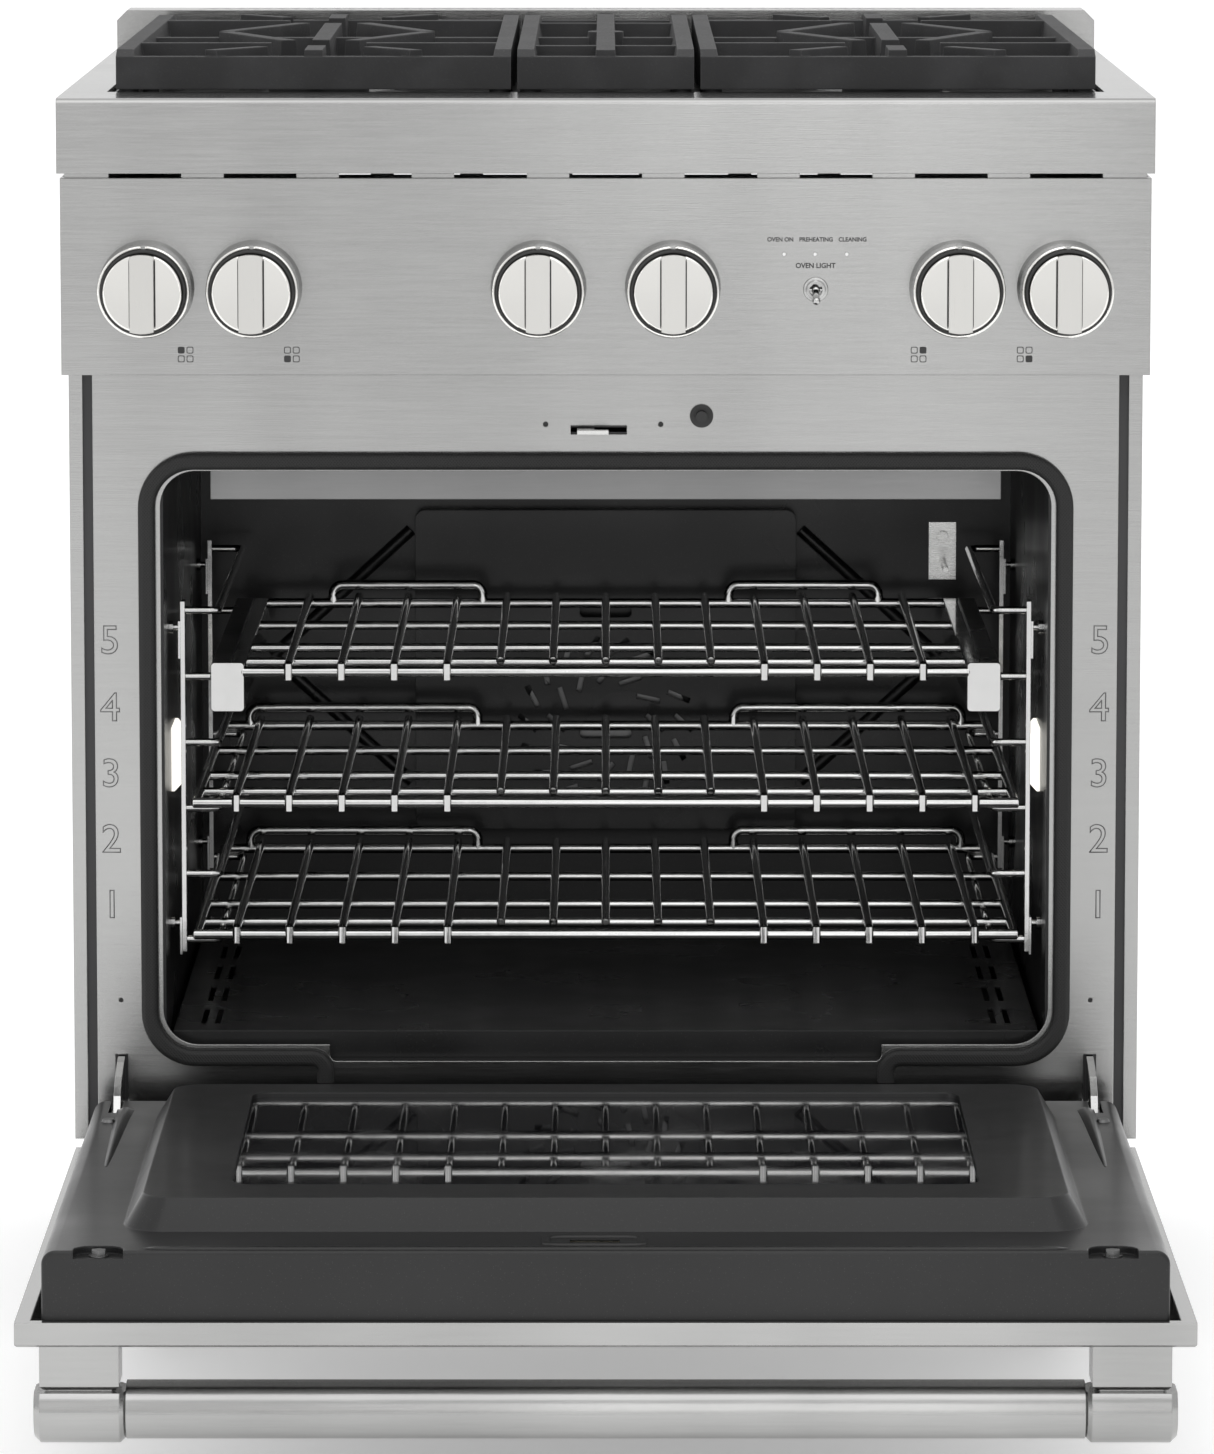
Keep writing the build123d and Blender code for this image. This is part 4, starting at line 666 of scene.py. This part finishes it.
class GASRANGE_OT_printing(bpy.types.Operator):
    """Prints the plain words and the burner position icons on the control panel."""

    bl_idname = "gasrange.printing"
    bl_label = "Print The Control Panel"

    def execute(self, context):
        sizes = context.scene.range_sizes
        thin = sizes.print_thickness
        upper, lower = 0.8124, 0.7942           # heights of the two rows of words
        words = [("OVEN ON", 0.1212, upper, 1.0), ("PREHEATING", 0.1460, upper, 1.0),
                 ("CLEANING", 0.1713, upper, 1.0), ("OVEN LIGHT", 0.1456, lower, 1.2)]
        narrow, bold = 0.97, sizes.word_height * 0.045
        items = []
        for text, x, z, scale in words:
            points, faces = text_points(text, sizes.word_height * scale, depth=thin, bold=bold)
            points[:, 0] *= narrow
            items.append((stand_up(points, x, PANEL_Y - thin, z), faces))
        add_piece("panel_words", lettering_mesh("panel_words", items), "printing", "range_body")

        # An icon is four small squares, one for each burner, of which its own is filled and the rest are outlines.
        grids = []
        outer, gap = rounded_square(sizes.icon_size * 0.44 / 2), sizes.icon_size * 0.28
        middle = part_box("control_panel")[0].z + 0.0144
        pinhole, outline = 0.02, 0.76           # inside of a filled and of an outlined square, as shares of it
        filled = {-0.2920: (-1, 1), -0.21815: (-1, -1), 0.2175: (1, 1), 0.2912: (1, -1)}
        for x, solid in filled.items():
            for right, up in ((-1, -1), (-1, 1), (1, -1), (1, 1)):
                inner = outer * (pinhole if (right, up) == solid else outline)
                loops = [(inner, 0.0), (inner, thin), (outer, thin), (outer, 0.0)]
                grids.append(np.stack([
                    np.stack([x + right * gap + flat[:, 0], np.full(len(flat), PANEL_Y - rise),
                              middle + up * gap + flat[:, 1]], axis=-1) for flat, rise in loops]))
        mesh = surface_mesh("burner_icons", grids, wrap_rows=True)
        mesh.polygons.foreach_set("use_smooth", np.zeros(len(mesh.polygons), bool))
        add_piece("burner_icons", mesh, "printing", "range_body")
        return {"FINISHED"}


class GASRANGE_OT_rack_numbers(bpy.types.Operator):
    """Raises the rack position numbers, 1 to 5, on both sides of the oven front, in dark steel that paints shade
    along the raised lines.
    """

    bl_idname = "gasrange.rack_numbers"
    bl_label = "Emboss The Rack Numbers"

    def execute(self, context):
        sizes = context.scene.range_sizes
        items = []
        for x in (-0.3500, 0.3490):
            for number, z in zip("12345", (0.335, 0.382, 0.429, 0.476, 0.524)):
                points, faces = text_points(number, sizes.numeral_height, line=sizes.numeral_line)
                items.append((stand_up(points, x, FRAME_Y, z), faces))
        mesh = lettering_mesh("rack_numbers", items)
        mesh.polygons.foreach_set("use_smooth", np.ones(len(mesh.polygons), bool))
        # The dark steel of the raised numbers is painted shade, deepening the real shading of the embossing.
        add_piece("rack_numbers", mesh, "dark_steel", "range_body")
        return {"FINISHED"}


class GASRANGE_OT_knob_seals(bpy.types.Operator):
    """Sets a dark sleeve in the gap between each knob and its ring."""

    bl_idname = "gasrange.knob_seals"
    bl_label = "Fit The Knob Sleeves"

    def execute(self, context):
        gap, outer = 0.0003, 0.02935            # room round the knob, and the sleeve's outer radius
        recess, lip, depth = 0.0065, 0.0006, 0.012
        grids = []
        for knob in KNOBS:
            x, z, radius, grip_y = knob_place(knob)
            inner, front = radius + gap, grip_y + GRIP_STAND + recess
            profile = [(inner, 0.0), (outer, lip), (outer, -depth), (inner, -depth)]
            grids.append(lathe((x, front, z), (0, -1, 0), profile, sides=56))
        add_piece("knob_sleeves", surface_mesh("knob_sleeves", grids, wrap_rows=True), "black_plastic", "range_body")
        return {"FINISHED"}


class GASRANGE_OT_knob_trim(bpy.types.Operator):
    """Rolls the polished rim of each knob ring, and lays thin dark lines beside each grip as painted shade."""

    bl_idname = "gasrange.knob_trim"
    bl_label = "Trim The Knobs"

    def execute(self, context):
        rim_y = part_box("knob_bezels")[0].y
        rim_radius, rim_wide, rim_rise = 0.03055, 0.00128, 0.0008
        notch = 0.045                           # half the angle left open at the top of a ring
        line_off, line_half = 0.00875, 0.0243   # distance from the knob's middle, and half the length
        line_wide, line_rise, line_tip = 0.00048, 0.00030, 0.02
        section = full_turn(14)
        # The rim is an ellipse section carried round the ring from one side of the notch to the other.
        turn = np.linspace(notch, 2 * math.pi - notch, 96)[:, None]
        radius = rim_radius + rim_wide * np.cos(section)
        # Each line is a thin dark bar with an ellipse for its section, drawn in at both ends: painted shade where
        # the grip's sides fall in shadow.
        run = np.linspace(-1, 1, 24)[:, None]
        fade = end_fade(run, 24) + line_tip
        rims = []
        for knob in KNOBS:
            x, z = knob_place(knob)[:2]
            rims.append(np.stack([x + np.sin(turn) * radius, rim_y - rim_rise * np.sin(section) + 0 * turn,
                                  z + np.cos(turn) * radius], axis=-1))
            lines = [np.stack([x + side * line_off + line_wide * fade * np.cos(section),
                               GRIP_Y + GRIP_STAND - line_rise * fade * np.sin(section),
                               z + line_half * run + 0 * section], axis=-1) for side in (-1, 1)]
            body = knob + "_body" if knob + "_body" in frame["bodies"] else knob.replace("knob_", "")
            add_piece(knob.replace("knob", "grip_shade_lines"), surface_mesh("grip_shade_lines", lines), "black_plastic", body)
        add_piece("knob_rims", surface_mesh("knob_rims", rims), "knob_metal", "range_body")
        return {"FINISHED"}


class GASRANGE_OT_pressings(bpy.types.Operator):
    """Raises the pressed gussets, the edge bead and the catch pad of the door liner."""

    bl_idname = "gasrange.pressings"
    bl_label = "Press The Door Liner"

    def execute(self, context):
        sizes = context.scene.range_sizes
        gasket_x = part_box("door_gasket")[1].x
        along, across = np.meshgrid(np.linspace(0, 1, 48), np.linspace(-1, 1, 17), indexing="ij")
        off, bend, bend_end = 0.0069, 0.0010, 0.30      # ridge from the gasket, its bend, and where the bend ends
        start, length = 0.048, 0.205                    # along the door from its hinge
        tip, root, under_depth = 0.0012, 0.0050, 0.0006
        grids = []
        for side in (-1, 1):
            # A ridge just outside the gasket: its middle line bends outward, its width narrows along it, and
            # its height is a rounded bump across and a soft rise and fall along.
            ridge_x = gasket_x + off + bend * np.sin(np.minimum(along / bend_end, 1) * math.pi / 2)
            ridge_y = HINGE_Y - start - length * along
            width = tip + root * (1 - along) ** 0.8
            rise = sizes.gusset_height * np.sin(math.pi * along ** 0.45) ** 0.8 * (1 - across ** 2) ** 1.5
            top = np.stack([side * (ridge_x + width * across), ridge_y, LINER_Z + rise - SINK], axis=-1)
            under = top[:, ::-1].copy()
            under[..., 2] = LINER_Z - under_depth
            grid = np.concatenate([top, under], axis=1)
            grids.append(grid if side < 0 else grid[:, ::-1])

        # The bead is a long rounded bar whose section is a flat ellipse, drawn in at both ends.
        bead_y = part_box("door_liner")[0].y + 0.0075
        bead_half, bead_wide = 0.2985, 0.0042
        run, angle = np.linspace(-1, 1, 60)[:, None], full_turn(20)
        fade = end_fade(run, 40)
        grids.append(np.stack([bead_half * run + 0 * angle, bead_y + bead_wide * fade * np.cos(angle),
                               LINER_Z + sizes.bead_height * fade * np.sin(angle)], axis=-1)[:, ::-1])
        add_piece("liner_pressings", surface_mesh("liner_pressings", grids), "liner_enamel", "door")

        # The catch pad is a rounded frame round the latch slot: a flat ellipse carried round a superellipse.
        pad_x, pad_y = -0.0075, HINGE_Y - (0.674 - HINGE_Z)
        half_x, half_y, pad_rise = 0.031, 0.0125, 0.0016
        swell_x, swell_y = 1 + 0.10 * np.cos(angle), 1 + 0.24 * np.cos(angle)
        turn = full_turn(72)
        reach = superellipse(turn, 6.0)
        pad = np.stack([pad_x + half_x * (reach * np.cos(turn))[:, None] * swell_x,
                        pad_y + half_y * (reach * np.sin(turn))[:, None] * swell_y,
                        LINER_Z + pad_rise * np.sin(angle)[None] + 0 * turn[:, None]], axis=-1)
        add_piece("catch_pad", surface_mesh("catch_pad", [pad], wrap_rows=True), "liner_enamel", "door")
        return {"FINISHED"}


class GASRANGE_OT_screws(bpy.types.Operator):
    """Drives the sheet metal screws of the back."""

    bl_idname = "gasrange.screws"
    bl_label = "Drive The Screws"

    def execute(self, context):
        radius = context.scene.range_sizes.screw_radius
        # A head from its rim, over the dome and down into the recess: share of the radius, and height.
        dome = ((0.96, 0.0), (1.0, 0.0004), (0.86, 0.0013), (0.5, 0.0019),
                (0.3, 0.0020), (0.26, 0.0012), (0.05, 0.0010))
        head = [(radius * share, height) for share, height in dome]
        margin, end_gap, side_gap = 0.016, 0.03, 0.13
        low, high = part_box("rear_panel")
        back = high.y - SINK
        spots = [(x, back, z) for x in (low.x + margin, high.x - margin)
                 for z in np.linspace(low.z + end_gap, high.z - end_gap, 5)]
        spots += [(x, back, z) for x in np.linspace(low.x + side_gap, high.x - side_gap, 4)
                  for z in (low.z + margin, high.z - margin)]
        low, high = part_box("backguard")
        spots += [(x, high.y - SINK, low.z + 0.02) for x in np.linspace(-0.34, 0.34, 5)]
        grids = [lathe(spot, (0, 1, 0), head, sides=18) for spot in spots]
        add_piece("back_screws", surface_mesh("back_screws", grids), "galvanised", "range_body")
        return {"FINISHED"}


class GASRANGE_OT_stage(bpy.types.Operator):
    """Sets the pale floor, the soft lights and the camera."""

    bl_idname = "gasrange.stage"
    bl_label = "Set The Stage"

    def execute(self, context):
        scene = context.scene
        light, colours = scene.range_light, scene.range_colours
        # The floor is a flat grid, wide enough that its far edge is out of sight.
        count, near, far, half = 13, -9.25, 45, 30
        across, along = np.meshgrid(np.linspace(-half, half, count), np.linspace(near, far, count), indexing="ij")
        index = np.arange(count ** 2).reshape(count, count)
        faces = np.stack([index[:-1, :-1], index[1:, :-1], index[1:, 1:], index[:-1, 1:]], axis=-1).reshape(-1, 4)
        mesh = mesh_of("floor", np.stack([across, along, 0 * across], axis=-1).reshape(-1, 3), faces)
        floor = bpy.data.objects.new("floor", mesh)
        scene.collection.objects.link(floor)
        ground = Finish("floor_paint", Emission_Strength=0.30)
        cloud = add_node(ground.tree, "ShaderNodeTexNoise", {"Vector": ground.place, "Scale": 0.6}).outputs[0]
        tone = tuple(colours.floor)
        # The part of the floor that only the polished knobs mirror is a shade darker.
        ahead = add_node(ground.tree, "ShaderNodeSeparateXYZ", {0: ground.place}).outputs[1]
        paint = blend_colour(ground.tree, ramp(ground.tree, ahead, -7.9, -6.6), toned(tone, 0.66),
                             blend_colour(ground.tree, cloud, tone, toned(tone, 0.99)))
        ground.feed(Base_Color=paint, Emission_Color=paint)
        ground.feed(Roughness=ramp(ground.tree, cloud, 0.3, 0.7, 0.75, 0.85))
        mesh.materials.append(ground.material)

        world = bpy.data.worlds.new("soft studio")
        scene.world = world
        world.use_nodes = True
        tree = world.node_tree
        where = add_node(tree, "ShaderNodeTexCoord").outputs["Generated"]
        part = add_node(tree, "ShaderNodeSeparateXYZ", {0: where}).outputs
        # Brighter overhead, and greyer to the left and the right.
        lift = ramp(tree, part[2], -0.02, 0.55)
        sides = ramp(tree, maths(tree, "ABSOLUTE", part[0]), 0.10, 0.85)
        glow = blend_colour(tree, lift, (0.98, 0.98, 0.98), (1.1, 1.1, 1.1))
        glow = blend_colour(tree, maths(tree, "MULTIPLY", sides, 0.45), glow, (0.76, 0.76, 0.77))
        tree.links.new(glow, tree.nodes["Background"].inputs["Color"])
        tree.nodes["Background"].inputs["Strength"].default_value = light.sky

        def soft_light(name, power, size, place, target):
            lamp = bpy.data.lights.new(name, "AREA")
            lamp.shape, lamp.size, lamp.size_y, lamp.energy = "RECTANGLE", size[0], size[1], power
            holder = bpy.data.objects.new(name, lamp)
            scene.collection.objects.link(holder)
            holder.location = place
            aim = Vector(target) - Vector(place)
            holder.rotation_euler = aim.to_track_quat("-Z", "Y").to_euler()

        soft_light("key light", light.key, (3.4, 2.4), (0.3, -1.6, 3.1), (0, 0, 0.6))
        soft_light("front strip", light.strip, (0.7, 3.6), (0.25, -6.6, 2.2), (0, 0, 0.7))
        soft_light("left strip", light.strip * 0.8, (0.8, 2.6), (-3.2, -1.6, 1.5), (0, 0, 0.6))

        camera = bpy.data.objects.new("camera", bpy.data.cameras.new("camera"))
        scene.collection.objects.link(camera)
        camera.data.sensor_width, camera.data.lens = 36.0, 185.8
        camera.data.shift_x, camera.data.shift_y = 0.0009, -0.090
        camera.data.clip_end = 120.0
        distance, height, tilt = 5.292, 1.215, 7.15     # in front of the origin, above the floor, degrees down
        camera.location = (0.0, -distance, height)
        camera.rotation_euler = (math.radians(90 - tilt), 0.0, 0.0)
        scene.camera = camera
        scene.view_settings.view_transform = "Standard"
        scene.view_settings.look = "None"
        return {"FINISHED"}


class GASRANGE_PT_panel(bpy.types.Panel):
    """Lists the steps and the values of the range."""

    bl_idname = "GASRANGE_PT_panel"
    bl_label = "Gas Range"
    bl_space_type = "VIEW_3D"
    bl_region_type = "UI"
    bl_category = "Gas Range"

    def draw(self, context):
        for step in STEPS:
            self.layout.operator(step.bl_idname)
        for values in (context.scene.range_sizes, context.scene.range_colours, context.scene.range_light):
            box = self.layout.box()
            for key in values.__annotations__:
                box.prop(values, key)


STEPS = (GASRANGE_OT_finishes, GASRANGE_OT_rack_plating, GASRANGE_OT_printing,
         GASRANGE_OT_rack_numbers, GASRANGE_OT_knob_seals, GASRANGE_OT_knob_trim,
         GASRANGE_OT_pressings, GASRANGE_OT_screws, GASRANGE_OT_stage)
GROUPS = (("range_sizes", RangeSizes), ("range_colours", RangeColours), ("range_light", RangeLight))


def register():
    for key, group in GROUPS:
        bpy.utils.register_class(group)
        setattr(bpy.types.Scene, key, bpy.props.PointerProperty(type=group))
    for step in STEPS:
        bpy.utils.register_class(step)
    bpy.utils.register_class(GASRANGE_PT_panel)


def unregister():
    bpy.utils.unregister_class(GASRANGE_PT_panel)
    for step in reversed(STEPS):
        bpy.utils.unregister_class(step)
    for key, group in reversed(GROUPS):
        delattr(bpy.types.Scene, key)
        bpy.utils.unregister_class(group)


def main():
    register()
    bpy.ops.gasrange.finishes()
    bpy.ops.gasrange.rack_plating()
    bpy.ops.gasrange.printing()
    bpy.ops.gasrange.rack_numbers()
    bpy.ops.gasrange.knob_seals()
    bpy.ops.gasrange.knob_trim()
    bpy.ops.gasrange.pressings()
    bpy.ops.gasrange.screws()
    bpy.ops.gasrange.stage()


if __name__ == "__main__":
    main()
